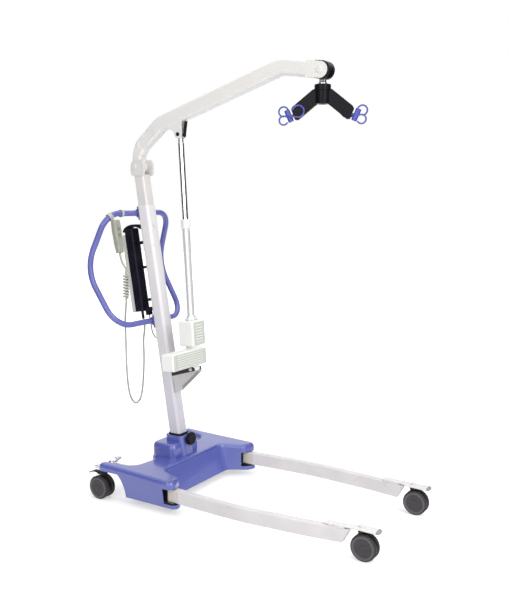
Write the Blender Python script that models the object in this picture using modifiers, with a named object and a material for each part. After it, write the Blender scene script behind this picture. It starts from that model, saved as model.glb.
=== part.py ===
"""A mobile patient lift: a wheeled base with spreading legs, a leaning mast, a lifting boom with its
electric actuator, a hanger with sling hooks, and the push handle, battery and handset behind the mast.

Metres, +Z up. +X points forward along the legs, +Y to the lift's left, and the origin is on the floor
below the middle of the lift. Lengths along the lift are given as distances back from the front axles.
"""

from math import atan2, cos, degrees, pi, radians, sin, sqrt, tan

import bmesh
import bpy
from mathutils import Matrix, Vector

# Driving dimensions
FRONT_X = 0.6248
WHEEL_RADIUS = 0.050
WHEELBASE = 1.200
TRAIL = 0.012
FRONT_TRACK = 0.494
REAR_TRACK = 0.592
MAST_LEAN = radians(9.16)
MAST_BASE = 1.0177
MAST_BASE_Z = 0.243
MAST_SIZE = (0.058, 0.060)
MAST_WALL = 0.003
MAST_TOP_Z = 1.240
BOOM_PIVOT_BACK = 1.213
BOOM_PIVOT_Z = 1.405
BOOM_DEPTH = 0.062
BOOM_WIDTH = 0.049
LUG_PIN_BACK = 0.986
LUG_PIN_Z = 1.535
FOOT_PIN_BACK = 0.927
FOOT_PIN_Z = 0.540
BOLT_BACK = 0.316
BOLT_Z = 1.743
LEG_PIVOT_BACK = 0.930
LEG_PIVOT_Y = 0.275
LEG_HEIGHT = 0.055
LEG_WIDTH = 0.030
LEG_Z = 0.0805
PEDAL_Y = -0.210
PEDAL_Z = 0.122
GAP = 0.0003
MERGE = 0.0001


def back(distance):
    """World X of a point this far behind the front axles."""
    return FRONT_X - distance


# The model's collections
def clear_scene():
    for old in list(bpy.data.objects):
        bpy.data.objects.remove(old, do_unlink=True)


def new_collection(name):
    made = bpy.data.collections.new(name)
    bpy.context.scene.collection.children.link(made)
    return made


clear_scene()
LIFT = new_collection("patient_lift")
TOOLS = new_collection("cutters")
PIVOTS = {}


def paint(name, colour, roughness, metallic=0.0):
    made = bpy.data.materials.new(name)
    made.use_nodes = True
    shader = made.node_tree.nodes["Principled BSDF"]
    shader.inputs["Base Color"].default_value = (*colour, 1.0)
    shader.inputs["Roughness"].default_value = roughness
    shader.inputs["Metallic"].default_value = metallic
    made.diffuse_color = (*colour, 1.0)
    return made


BLUE = paint("blue_moulding", (0.17, 0.19, 0.52), 0.35)
HANDLE_BLUE = paint("handle_blue", (0.16, 0.16, 0.50), 0.35)
LILAC_GREY = paint("lilac_grey_paint", (0.62, 0.58, 0.64), 0.35)
LEG_GREY = paint("leg_grey_paint", (0.62, 0.59, 0.61), 0.35)
CREAM = paint("cream_casting", (0.72, 0.66, 0.58), 0.45)
CABLE = paint("cream_cable", (0.62, 0.60, 0.52), 0.5)
WARM_WHITE = paint("warm_white_paint", (0.88, 0.86, 0.84), 0.35)
HOUSING_WHITE = paint("housing_white", (0.85, 0.85, 0.80), 0.5)
BLACK = paint("black_plastic", (0.012, 0.012, 0.015), 0.4)
BATTERY_BLACK = paint("battery_black", (0.02, 0.018, 0.03), 0.4)
WHEEL_GREY = paint("wheel_grey", (0.09, 0.08, 0.085), 0.5)
STEEL = paint("zinc_steel", (0.55, 0.55, 0.56), 0.35, 1.0)
CHROME = paint("chrome", (0.80, 0.80, 0.82), 0.12, 1.0)
HOOK_BLUE = paint("hook_blue", (0.08, 0.10, 0.40), 0.35)
BEIGE = paint("handset_beige", (0.50, 0.50, 0.42), 0.5)
BOX_GREY = paint("box_grey", (0.60, 0.60, 0.54), 0.5)
RED = paint("stop_red", (0.45, 0.03, 0.03), 0.4)


# Shape helpers
def rounded(points, radii, steps=4, closed=False):
    """The points of a path with each corner turned into an arc of its own radius."""
    path = []
    last = len(points) - 1
    for i, (corner, radius) in enumerate(zip(points, radii)):
        corner = Vector(corner)
        if radius == 0 or (not closed and i in (0, last)):
            path.append(corner)
            continue
        before = Vector(points[i - 1]) - corner
        after = Vector(points[(i + 1) % len(points)]) - corner
        half = before.angle(after) / 2
        reach = min(radius / tan(half), 0.49 * before.length, 0.49 * after.length)
        before.normalize()
        after.normalize()
        start = corner + before * reach
        end = corner + after * reach
        centre = corner + (before + after).normalized() * reach / cos(half)
        swing = (start - centre).angle(end - centre)
        for k in range(steps + 1):
            f = k / steps
            arm = (start - centre) * sin((1 - f) * swing) + (end - centre) * sin(f * swing)
            path.append(centre + arm / sin(swing))
    return path


def inset(ring, distance):
    """A closed outline, anticlockwise from above, moved inwards."""
    moved = []
    for i, point in enumerate(ring):
        into = (point - ring[i - 1]).to_2d().normalized()
        out = (ring[(i + 1) % len(ring)] - point).to_2d().normalized()
        first = Vector((-into.y, into.x))
        second = Vector((-out.y, out.x))
        middle = (first + second).normalized()
        step = middle * distance / max(0.5, middle.dot(first))
        moved.append(point + step.to_3d())
    return moved


def box_outline(width, depth, radius, steps=3):
    """A rounded rectangle about the origin, anticlockwise from above."""
    w = width / 2
    d = depth / 2
    corners = [(w, -d, 0), (w, d, 0), (-w, d, 0), (-w, -d, 0)]
    return rounded(corners, [radius] * 4, steps, closed=True)


def keep(obj, material, collection=None):
    (collection or LIFT).objects.link(obj)
    obj.data.materials.clear()
    obj.data.materials.append(material)
    return obj


def as_tool(obj):
    """Turns a finished shape into a hidden tool for a Boolean."""
    for holder in list(obj.users_collection):
        holder.objects.unlink(obj)
    TOOLS.objects.link(obj)
    obj.hide_render = True
    obj.display_type = "WIRE"
    return obj


def from_bmesh(name, bm, material, origin=(0, 0, 0)):
    origin = Vector(origin)
    bmesh.ops.translate(bm, verts=bm.verts, vec=-origin)
    bmesh.ops.recalc_face_normals(bm, faces=bm.faces)
    mesh = bpy.data.meshes.new(name)
    bm.to_mesh(mesh)
    bm.free()
    made = bpy.data.objects.new(name, mesh)
    made.location = origin
    return keep(made, material)


def soften(obj, width, segments=2, limit=30):
    """Rounds an object's edges with a Bevel modifier."""
    bevel = obj.modifiers.new("round_edges", "BEVEL")
    bevel.width = width
    bevel.segments = segments
    bevel.limit_method = "ANGLE"
    bevel.angle_limit = radians(limit)
    return obj


def smooth(obj, angle=35):
    obj.data.shade_smooth()
    obj.data.set_sharp_from_angle(angle=radians(angle))
    return obj


def box(name, size, centre, material, edge=0.0, lean=0.0, segments=2):
    """A block, leant back about Y, with rounded edges."""
    bm = bmesh.new()
    bmesh.ops.create_cube(bm, size=1.0)
    bmesh.ops.scale(bm, vec=size, verts=bm.verts)
    made = from_bmesh(name, bm, material)
    made.location = centre
    made.rotation_euler = (0, -lean, 0)
    if edge:
        soften(made, edge, segments)
    return made


def bar(name, radius, start, end, material, sides=20, end_radius=None):
    """A round bar, or a cone, between two points."""
    start = Vector(start)
    end = Vector(end)
    bm = bmesh.new()
    last = radius if end_radius is None else end_radius
    length = (end - start).length
    bmesh.ops.create_cone(bm, cap_ends=True, segments=sides, radius1=radius, radius2=last, depth=length)
    made = from_bmesh(name, bm, material)
    made.location = (start + end) / 2
    made.rotation_mode = "QUATERNION"
    made.rotation_quaternion = (end - start).to_track_quat("Z", "Y")
    return smooth(made)


def turned(name, profiles, centre, direction, material, sides=24):
    """A lathe-turned piece: each profile is (radius, height) from top to bottom, about its own axis."""
    points = []
    edges = []
    for profile in profiles:
        closed = profile[0] == profile[-1]
        ring = profile[:-1] if closed else profile
        first = len(points)
        points += [(radius, 0.0, height) for radius, height in ring]
        edges += [(first + i, first + i + 1) for i in range(len(ring) - 1)]
        if closed:
            edges.append((len(points) - 1, first))
    mesh = bpy.data.meshes.new(name)
    mesh.from_pydata(points, edges, [])
    made = bpy.data.objects.new(name, mesh)
    made.location = centre
    made.rotation_mode = "QUATERNION"
    made.rotation_quaternion = Vector(direction).to_track_quat("Z", "Y")
    screw = made.modifiers.new("turn", "SCREW")
    screw.steps = sides
    screw.render_steps = sides
    screw.use_merge_vertices = True
    screw.merge_threshold = MERGE
    screw.use_smooth_shade = True
    return keep(made, material)


def curve_object(name, points, cyclic):
    curve = bpy.data.curves.new(name, "CURVE")
    curve.dimensions = "3D"
    spline = curve.splines.new("POLY")
    spline.points.add(len(points) - 1)
    for place, point in zip(spline.points, points):
        place.co = (*point, 1.0)
    spline.use_cyclic_u = cyclic
    return bpy.data.objects.new(name, curve)


def tube(name, points, radius, material, cyclic=False, resolution=2):
    """A round tube or wire along a path."""
    origin = Vector(points[0])
    made = curve_object(name, [Vector(p) - origin for p in points], cyclic)
    made.data.bevel_depth = radius
    made.data.bevel_resolution = resolution
    made.data.use_fill_caps = not cyclic
    made.location = origin
    return keep(made, material)


def solid(obj, origin=None):
    """A curve object made a mesh with welded caps and no turn of its own, so that a Boolean can use it."""
    bpy.context.view_layer.update()
    evaluated = obj.evaluated_get(bpy.context.evaluated_depsgraph_get())
    mesh = bpy.data.meshes.new_from_object(evaluated)
    origin = obj.location.copy() if origin is None else Vector(origin)
    mesh.transform(Matrix.Translation(-origin) @ obj.matrix_world)
    bm = bmesh.new()
    bm.from_mesh(mesh)
    bmesh.ops.remove_doubles(bm, verts=bm.verts, dist=MERGE / 10)
    bmesh.ops.recalc_face_normals(bm, faces=bm.faces)
    bm.to_mesh(mesh)
    bm.free()
    name = obj.name
    material = obj.data.materials[0]
    bpy.data.objects.remove(obj, do_unlink=True)
    made = bpy.data.objects.new(name, mesh)
    made.location = origin
    return keep(made, material)


def plate(name, outline, thickness, middle_y, material, origin=None):
    """A flat plate that stands along X and Z: its outline is a list of (x, z)."""
    corner = Vector((outline[0][0], middle_y, outline[0][1]))
    curve = bpy.data.curves.new(name, "CURVE")
    curve.dimensions = "2D"
    curve.fill_mode = "BOTH"
    curve.extrude = thickness / 2
    spline = curve.splines.new("POLY")
    spline.points.add(len(outline) - 1)
    for place, (x, z) in zip(spline.points, outline):
        place.co = (x - corner.x, z - corner.z, 0.0, 1.0)
    spline.use_cyclic_u = True
    made = bpy.data.objects.new(name, curve)
    made.location = corner
    made.rotation_euler = (pi / 2, 0, 0)
    return solid(keep(made, material), origin)


def arc(centre, radius, start, end, steps):
    """Points (x, z) on an arc; the angles are in degrees from +X towards +Z."""
    turn = [radians(start + (end - start) * k / steps) for k in range(steps + 1)]
    return [(centre[0] + radius * cos(a), centre[1] + radius * sin(a)) for a in turn]


def loft(name, rings, material, origin=None):
    """A closed skin through rings of equally many points, capped at both ends."""
    bm = bmesh.new()
    loops = [[bm.verts.new(p) for p in ring] for ring in rings]
    for lower, upper in zip(loops, loops[1:]):
        for i in range(len(lower)):
            j = (i + 1) % len(lower)
            bm.faces.new((lower[i], lower[j], upper[j], upper[i]))
    bm.faces.new(list(reversed(loops[0])))
    bm.faces.new(loops[-1])
    middle = sum((Vector(p) for p in rings[0]), Vector()) / len(rings[0])
    return smooth(from_bmesh(name, bm, material, origin or middle))


def rebase(obj, origin):
    """Bakes a finished shape's turn into its mesh and gives it a new origin."""
    obj.data.transform(Matrix.Translation(-Vector(origin)) @ obj.matrix_basis)
    obj.matrix_basis = Matrix.Translation(origin)
    return obj


def boolean(target, tool, operation, solver="EXACT"):
    step = target.modifiers.new(tool.name, "BOOLEAN")
    step.operation = operation
    step.object = as_tool(tool)
    step.solver = solver
    return target


def cut(target, tool, solver="EXACT"):
    return boolean(target, tool, "DIFFERENCE", solver)


def join(target, tool, solver="EXACT"):
    return boolean(target, tool, "UNION", solver)


def pivot(name, place, parent=None):
    """An empty on a joint's axis; what moves with the joint hangs on it."""
    made = bpy.data.objects.new(name, None)
    made.empty_display_size = 0.03
    LIFT.objects.link(made)
    PIVOTS[name] = Vector(place)
    made.location = place
    if parent:
        made.parent = parent
        made.location = Vector(place) - PIVOTS[parent.name]
    return made


def hang(parent, *objects):
    """Parents objects, and the tools that shape them, to a pivot, each staying where it is."""
    for obj in objects:
        tools = [m.object for m in obj.modifiers if m.type == "BOOLEAN"]
        obj.location -= PIVOTS[parent.name]
        obj.parent = parent
        for tool in tools:
            hang(parent, tool)


def path_rings(path, outline):
    """Copies of an outline (its first axis across in the XZ plane, its second along Y) square to a path
    that runs in a vertical plane along X."""
    rings = []
    for i, point in enumerate(path):
        before = path[max(i - 1, 0)]
        after = path[min(i + 1, len(path) - 1)]
        along = ((point - before).normalized() + (after - point).normalized()).normalized()
        if i in (0, len(path) - 1):
            along = (after - before).normalized()
        across = Vector((along.z, 0, -along.x))
        rings.append([point + across * p.x + Vector((0, p.y, 0)) for p in outline])
    return rings


def mast_point(z, forward=0.0, y=0.0):
    """A point of the leaning mast's middle line at this height, or that far in front of it."""
    x = back(MAST_BASE) - (z - MAST_BASE_Z) * tan(MAST_LEAN)
    return Vector((x + forward / cos(MAST_LEAN), y, z))


# Base: the frame, the moulded cover and the mast's socket
def far_and_near(half):
    """A closed outline from its far half, listed from the front to the rear, and the half's mirror image."""
    near = [Vector((p.x, -p.y, 0)) for p in reversed(half)]
    return list(half) + near[1:-1]


def cover_outline(corners):
    """Half an outline of the cover; a corner is (distance back, Y, rounding radius)."""
    points = [(back(d), y, 0) for d, y, r in corners]
    return far_and_near(rounded(points, [r for d, y, r in corners], steps=3))


COVER_BOTTOM = [
    (0.895, 0.0, 0), (0.895, 0.205, 0.040), (0.810, 0.250, 0.055), (0.790, 0.307, 0.030),
    (1.085, 0.305, 0), (1.203, 0.314, 0.017), (1.203, 0.278, 0.017), (1.090, 0.246, 0),
    (1.062, 0.225, 0.040), (1.050, 0.110, 0.020), (1.102, 0.085, 0.030), (1.102, 0.0, 0),
]
COVER_TOP = [
    (0.930, 0.0, 0), (0.930, 0.205, 0.045), (0.830, 0.235, 0.050), (0.795, 0.322, 0.035),
    (1.085, 0.316, 0), (1.206, 0.318, 0.0215), (1.206, 0.274, 0.0215), (1.090, 0.250, 0),
    (1.064, 0.229, 0.040), (1.052, 0.110, 0.020), (1.102, 0.085, 0.030), (1.102, 0.0, 0),
]


def cover_top_z(x):
    """The cover's top slopes down towards the front."""
    return 0.150 + (back(0.995) - x) * 0.03


def at_height(ring, height):
    return [Vector((p.x, p.y, height(p.x) if callable(height) else height)) for p in ring]


def make_cover():
    """The moulded cover. EXACT loses its thin shell on these shapes, so its Booleans are MANIFOLD."""
    bottom = cover_outline(COVER_BOTTOM)
    top = cover_outline(COVER_TOP)
    rings = [at_height(bottom, 0.030), at_height(top, 0.128)]
    rings.append(at_height(inset(top, 0.004), lambda x: cover_top_z(x) - 0.011))
    rings.append(at_height(inset(top, 0.011), lambda x: cover_top_z(x) - 0.004))
    rings.append(at_height(inset(top, 0.018), cover_top_z))
    cover = loft("chassis_cover", rings, BLUE, origin=(back(0.995), 0, 0.10))

    hollow = [at_height(inset(bottom, 0.004), 0.020)]
    hollow.append(at_height(inset(top, 0.004), 0.128))
    hollow.append(at_height(inset(top, 0.009), 0.1430))
    inside = loft("cover_hollow", hollow, BLUE)

    hump = hump_shape("cover_hump", 0.0635, 0.095, 0.140, 0.209, 0.016)
    join(cover, hump, "MANIFOLD")
    cut(cover, inside, "MANIFOLD")
    cut(cover, hump_shape("hump_hollow", 0.0595, 0.091, 0.130, 0.205, 0.014), "MANIFOLD")
    cut(cover, socket_shape("cover_socket_hole", 0.105, 0.240, 0.0975, 0.0806, 0.0203), "MANIFOLD")

    arch = bar("castor_arches", 0.140, (back(WHEELBASE), -0.40, 0.030), (back(WHEELBASE), 0.40, 0.030),
               BLUE, sides=32)
    level = box("arch_level", (0.4, 1.0, 0.3), (back(WHEELBASE), 0, 0.1249 - 0.15), BLUE)
    arch_cut = arch.modifiers.new("below_arms", "BOOLEAN")
    arch_cut.operation = "INTERSECT"
    arch_cut.solver = "EXACT"
    arch_cut.object = as_tool(level)
    cut(cover, arch, "MANIFOLD")
    for side in (-1, 1):
        leg_space = box("leg_opening", (0.140, 0.120, 0.065), (back(0.857) + 0.070, side * 0.295, 0.0795),
                        BLUE)
        cut(cover, leg_space, "MANIFOLD")
    shaft_hole = bar("shaft_hole", 0.0095, (back(1.075), PEDAL_Y, PEDAL_Z),
                     (back(1.020), PEDAL_Y, PEDAL_Z), BLUE)
    cut(cover, shaft_hole, "MANIFOLD")
    return cover


def hump_shape(name, half_depth, half_width, low, high, shoulder):
    """The raised middle of the cover at the mast's foot: upright sides and rounded shoulders."""
    middle = back(1.0335)
    outline = box_outline(2 * half_depth, 2 * half_width, 0.030, 4)
    rings = [at_height(outline, low), at_height(outline, high - 1.6 * shoulder)]
    for k in (1, 2, 3):
        a = radians(30 * k)
        rise = high - 1.6 * shoulder * (1 - sin(a))
        rings.append(at_height(inset(outline, shoulder * (1 - cos(a))), rise))
    return loft(name, [[p + Vector((middle, 0, 0)) for p in ring] for ring in rings], BLUE)


def socket_shape(name, low, high, depth, width, radius):
    """An upright sleeve that follows the mast's lean."""
    outline = box_outline(depth, width, radius, 4)
    rings = []
    for z in (low, high):
        foot = mast_point(z)
        rings.append([Vector((foot.x + p.x, p.y, z)) for p in outline])
    return loft(name, rings, BLUE)


def make_socket():
    socket = socket_shape("mast_socket", 0.1105, 0.235, 0.097, 0.080, 0.020)
    hole = socket_shape("mast_hole", 0.1165, 0.260, MAST_SIZE[0] / cos(MAST_LEAN) + 2 * GAP,
                        MAST_SIZE[1] + 2 * GAP, 0.0123)
    cut(socket, hole)
    knob_thread = bar("knob_thread_hole", 0.0063, (back(0.940), 0, 0.223), (back(0.990), 0, 0.223), BLUE)
    cut(socket, knob_thread)

    ring = socket_shape("socket_ring", 0.2353, 0.2435, 0.0685, 0.0700, 0.017)
    ring.data.materials[0] = BLACK
    through = socket_shape("ring_hole", 0.230, 0.250, MAST_SIZE[0] / cos(MAST_LEAN) + 2 * GAP,
                           MAST_SIZE[1] + 2 * GAP, 0.0123)
    cut(ring, through)
    return socket, ring


def make_knob():
    """Locking knob in front of the socket; it turns on its thread and its stem ends short of the mast."""
    profile = [(0, 0.022), (0.020, 0.022), (0.0245, 0.019), (0.026, 0.014), (0.026, 0.006), (0.023, 0.0005),
               (0.0085, 0.0), (0.0058, -0.0003), (0.0058, -0.0250), (0, -0.0250)]
    knob = turned("mast_knob", [profile], (back(0.9585), 0, 0.223), (1, 0, 0), BLACK, 20)
    for k in range(6):
        a = 2 * pi * k / 6
        place = Vector((0, 0.0300 * cos(a), 0.0300 * sin(a)))
        start = Vector((back(0.9580), 0, 0.223)) + place
        cut(knob, bar("knob_grip", 0.0068, start, start + Vector((0.024, 0, 0)), BLACK, sides=8))
    return knob


def make_frame():
    """The cross tube with its pivot plates, leg pins and the two arms that carry the rear castors."""
    frame = box("chassis_frame", (0.050, 0.590, 0.060), (back(0.979), 0, 0.080), STEEL)
    cut(frame, box("tube_inside", (0.044, 0.610, 0.054), (back(0.979), 0, 0.080), STEEL))
    for side in (-1, 1):
        for z, thick in ((0.048, 0.008), (0.1115, 0.006)):
            plate_part = box("pivot_plate", (0.100, 0.052, thick), (back(0.955), side * 0.271, z), STEEL)
            join(frame, plate_part)
        reach = box("lower_plate_front", (0.092, 0.035, 0.008), (back(0.861), side * 0.2825, 0.048), STEEL)
        join(frame, reach)
        riser = box("arm_riser", (0.030, 0.030, 0.040), (back(0.992), side * 0.280, 0.118), STEEL)
        stem_back = WHEELBASE - TRAIL
        arm = box("castor_arm", (0.2025, 0.018, 0.016), (back(1.08675), side * REAR_TRACK / 2, 0.133), STEEL)
        eye = bar("castor_eye", 0.0088, (back(stem_back), side * REAR_TRACK / 2, 0.125),
                  (back(stem_back), side * REAR_TRACK / 2, 0.141), STEEL, sides=24)
        join(frame, riser)
        join(frame, arm)
        join(frame, eye)
    lug = box("shaft_lug", (0.012, 0.026, 0.048), (back(0.992), PEDAL_Y, 0.1185), STEEL)
    join(frame, lug)
    cut(frame, bar("shaft_bore", 0.0073, (back(1.010), PEDAL_Y, PEDAL_Z),
                   (back(0.975), PEDAL_Y, PEDAL_Z), STEEL))
    for side in (-1, 1):
        cut(frame, bar("stem_bore", 0.0053, (back(WHEELBASE - TRAIL), side * REAR_TRACK / 2, 0.110),
                       (back(WHEELBASE - TRAIL), side * REAR_TRACK / 2, 0.145), STEEL))
        join(frame, bar("leg_pin", 0.0080, (back(LEG_PIVOT_BACK), side * LEG_PIVOT_Y, 0.041),
                        (back(LEG_PIVOT_BACK), side * LEG_PIVOT_Y, 0.118), STEEL, sides=16))
    return frame


# Legs
LEG_LINE = [(0.797, 0.2800), (0.745, 0.2850), (0.650, 0.2900), (0.565, 0.2930), (0.455, 0.2930),
            (0.355, 0.2850), (0.225, 0.2750), (0.135, 0.2630), (0.065, 0.2555)]
LEG_LOW = 0.053
LEG_HIGH = 0.108
LEG_END_LOW = 0.082
LEG_END_HIGH = 0.053


def leg_ring(x_low, x_high, y, half_width, low, high, radius):
    """A rounded section of the leg, its lower and upper edges at their own distances along the lift."""
    outline = box_outline(2 * half_width, high - low, radius, 2)
    ring = []
    for p in outline:
        z = (low + high) / 2 + p.y
        f = (z - low) / (high - low)
        ring.append(Vector((x_low + (x_high - x_low) * f, y + p.x, z)))
    return ring


def leg_tube(name, wall, side, start_extra, end_short, material):
    rings = []
    half = LEG_WIDTH / 2 - wall
    radius = max(0.001, 0.005 - wall)
    for i, (d, y) in enumerate(LEG_LINE):
        low = high = back(d)
        if i == 0:
            slope = (LEG_LINE[1][1] - y) / (d - LEG_LINE[1][0])
            low = high = back(d) - start_extra
            y -= slope * start_extra
        if i == len(LEG_LINE) - 1:
            low = back(LEG_END_LOW) - end_short
            high = back(LEG_END_HIGH) - end_short
        rings.append(leg_ring(low, high, side * y, half, LEG_LOW + wall, LEG_HIGH - wall, radius))
    return loft(name, rings, material)


def make_leg(side, name):
    turn = pivot(name + "_leg_pivot", (back(LEG_PIVOT_BACK), side * LEG_PIVOT_Y, LEG_Z))
    tube_part = leg_tube(name + "_leg_tube", 0.0, side, 0.0, 0.0, LEG_GREY)
    cut(tube_part, leg_tube(name + "_leg_hollow", 0.0025, side, 0.010, 0.003, LEG_GREY))

    shoulder = [leg_ring(back(0.8480), back(0.8480), side * 0.2782, 0.015, LEG_LOW, LEG_HIGH, 0.005)]
    shoulder.append(leg_ring(back(0.7973), back(0.7973), side * 0.2800, 0.015, LEG_LOW, LEG_HIGH, 0.005))
    root = loft(name + "_leg_root", shoulder, CREAM, origin=PIVOTS[turn.name])
    neck = [leg_ring(back(0.9300), back(0.9300), side * LEG_PIVOT_Y, 0.0110, LEG_LOW, LEG_HIGH, 0.003)]
    neck.append(leg_ring(back(0.8430), back(0.8430), side * 0.2765, 0.0110, LEG_LOW, LEG_HIGH, 0.003))
    spigot = [leg_ring(back(0.8000), back(0.8000), side * 0.2797, 0.0120, 0.0560, 0.1050, 0.0022)]
    spigot.append(leg_ring(back(0.7500), back(0.7500), side * 0.2845, 0.0120, 0.0560, 0.1050, 0.0022))
    eye = bar("root_eye", 0.018, PIVOTS[turn.name] + Vector((0, 0, -0.0275)),
              PIVOTS[turn.name] + Vector((0, 0, 0.0275)), CREAM, sides=32)
    for shape in (loft("root_neck", neck, CREAM), loft("root_spigot", spigot, CREAM), eye):
        join(root, shape)
    cut(root, bar("root_bore", 0.0083, PIVOTS[turn.name] + Vector((0, 0, -0.05)),
                  PIVOTS[turn.name] + Vector((0, 0, 0.05)), CREAM, sides=24))

    end = leg_end(name, side)
    hang(turn, tube_part, root, end)
    castor(name + "_front", 0.0, side * FRONT_TRACK / 2, 0.017, 0.011, TRAIL, turn)
    return turn


def leg_end(name, side):
    """The plate over the front castor: it sits on the leg, carries the castor's stem and ends in a bumper."""
    y = side * FRONT_TRACK / 2
    rings = []
    stations = [(0.145, 0.2625, 0.0140, 0.1125, 0.1190), (0.070, 0.2570, 0.0145, 0.1125, 0.1190),
                (0.035, 0.2490, 0.0200, 0.1125, 0.1190), (0.000, 0.2470, 0.0225, 0.1125, 0.1190),
                (-0.030, 0.2470, 0.0215, 0.1115, 0.1200), (-0.050, 0.2470, 0.0180, 0.1100, 0.1215),
                (-0.057, 0.2470, 0.0140, 0.1100, 0.1215), (-0.060, 0.2470, 0.0090, 0.1110, 0.1205)]
    for d, centre, half, z0, z1 in stations:
        rings.append(leg_ring(back(d), back(d), side * centre, half, z0, z1, 0.0028))
    end = loft(name + "_leg_end", rings, WARM_WHITE)
    foot = box("end_foot", (0.066, 0.026, 0.006), (back(0.105), side * 0.2600, 0.1112), WARM_WHITE)
    foot.rotation_euler = (0, 0, -side * 0.07)
    join(end, foot)
    cap = bar("stem_cap", 0.0095, (back(TRAIL), y, 0.1150), (back(TRAIL), y, 0.1290), WARM_WHITE, sides=24)
    join(end, cap)
    cut(end, bar("stem_socket", 0.0053, (back(TRAIL), y, 0.1050), (back(TRAIL), y, 0.1250), WARM_WHITE))
    return end


# Castors
def wheel_profile(width, centre):
    """A wheel pair on its own axle: discs with a raised rim ring and a rounded tread."""
    half = width / 2
    chain = [(0, half - 0.0022), (0.034, half - 0.0022), (0.0365, half - 0.0004), (0.0415, half - 0.0004),
             (0.0470, half - 0.0035), (0.0500, half - 0.0065), (0.0500, -half + 0.0020),
             (0.0485, -half), (0.0040, -half)]
    upper = [(r, centre + h) for r, h in chain]
    lower = [(r, -centre - h) for r, h in reversed(chain)]
    return upper + lower


def castor(name, axle_back, y, width, space, trail, parent, head_top=0.1120):
    """A twin-wheel swivel castor. A positive trail sets the wheels ahead of the stem."""
    axle_z = WHEEL_RADIUS
    stem = Vector((back(axle_back + trail), y, 0.105))
    axle = Vector((back(axle_back), y, axle_z))
    swivel = pivot(name + "_swivel", stem, parent)
    spin = pivot(name + "_spin", axle, swivel)
    half_web = space / 2 - 0.001

    side_step = Vector((0, half_web, 0))
    fork = rebase(bar(name + "_fork", 0.047, axle - side_step, axle + side_step, BLACK, sides=20), stem)
    neck = box("fork_neck", (0.026, 2 * half_web, 0.030), (stem.x, y, 0.0895), BLACK)
    head = bar("fork_head", 0.0150, (stem.x, y, 0.1015), (stem.x, y, head_top), BLACK, sides=20)
    pin = bar("fork_stem", 0.0050, (stem.x, y, 0.1100), (stem.x, y, head_top + 0.0125), BLACK, sides=12)
    join(fork, neck)
    join(fork, head)
    join(fork, pin)
    cut(fork, bar("axle_bore", 0.0043, axle - Vector((0, 0.02, 0)), axle + Vector((0, 0.02, 0)), BLACK,
                  sides=16))

    centre = space / 2 + width / 2
    wheels = turned(name + "_wheels", [wheel_profile(width, centre)], axle, (0, 1, 0), WHEEL_GREY, 20)
    hang(swivel, fork)
    hang(spin, wheels)
    return swivel, fork


def rear_castor(name, side):
    y = side * REAR_TRACK / 2
    swivel, fork = castor(name, WHEELBASE, y, 0.022, 0.016, -TRAIL, None, 0.1244)
    hinge = Vector((back(WHEELBASE + 0.009), y, 0.1065))
    ear = box("pedal_lug", (0.024, 0.0080, 0.0080), (hinge.x + 0.0080, y, hinge.z - 0.0002), BLACK)
    ear_round = bar("pedal_lug_end", 0.0040, hinge - Vector((0, 0.0040, 0)), hinge + Vector((0, 0.0040, 0)),
                    BLACK, sides=16)
    pin = bar("pedal_pin", 0.0020, hinge - Vector((0, 0.0095, 0)), hinge + Vector((0, 0.0095, 0)), BLACK,
              sides=12)
    for extra in (ear, ear_round, pin):
        hang(swivel, extra)
        join(fork, extra)

    turn = pivot(name + "_pedal_pivot", hinge, swivel)
    top = [(-0.0035, 0.0034), (-0.0100, 0.0058), (-0.0200, 0.0068), (-0.0320, 0.0062), (-0.0430, 0.0030),
           (-0.0520, -0.0016), (-0.0560, -0.0030)]
    under = [(-0.0555, -0.0062), (-0.0500, -0.0052), (-0.0420, -0.0010), (-0.0320, 0.0020), (-0.0200, 0.0026),
             (-0.0110, 0.0014), (-0.0070, -0.0010), (-0.0055, -0.0035), (0.0010, -0.0040), (0.0035, 0.0)]
    outline = [(hinge.x + x, hinge.z + z) for x, z in reversed(top + under)]
    pedal = plate(name + "_brake_pedal", outline, 0.0240, y, BLACK, origin=hinge)
    slot = box("pedal_slot", (0.016, 0.0088, 0.020), (hinge.x + 0.0020, y, hinge.z), BLACK)
    cut(pedal, slot)
    cut(pedal, bar("pedal_bore", 0.0023, hinge - Vector((0, 0.02, 0)), hinge + Vector((0, 0.02, 0)), BLACK,
                   sides=12))
    hang(turn, pedal)


# Mast
def make_mast():
    deep = MAST_SIZE[0] / cos(MAST_LEAN)
    mast = socket_shape("mast", 0.1170, MAST_TOP_Z, deep, MAST_SIZE[1], 0.012)
    mast.data.materials[0] = LILAC_GREY
    hollow = socket_shape("mast_hollow", 0.100, MAST_TOP_Z + 0.02, deep - 2 * MAST_WALL,
                          MAST_SIZE[1] - 2 * MAST_WALL, 0.009)
    cut(mast, hollow)
    for side in (-1, 1):
        seat = Vector((mast_point(0.180).x, side * (0.0297 + 0.0100), 0.1765))
        cut(mast, box("seat_step", (0.120, 0.0200, 0.1400), seat, LILAC_GREY))
    return mast


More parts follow.
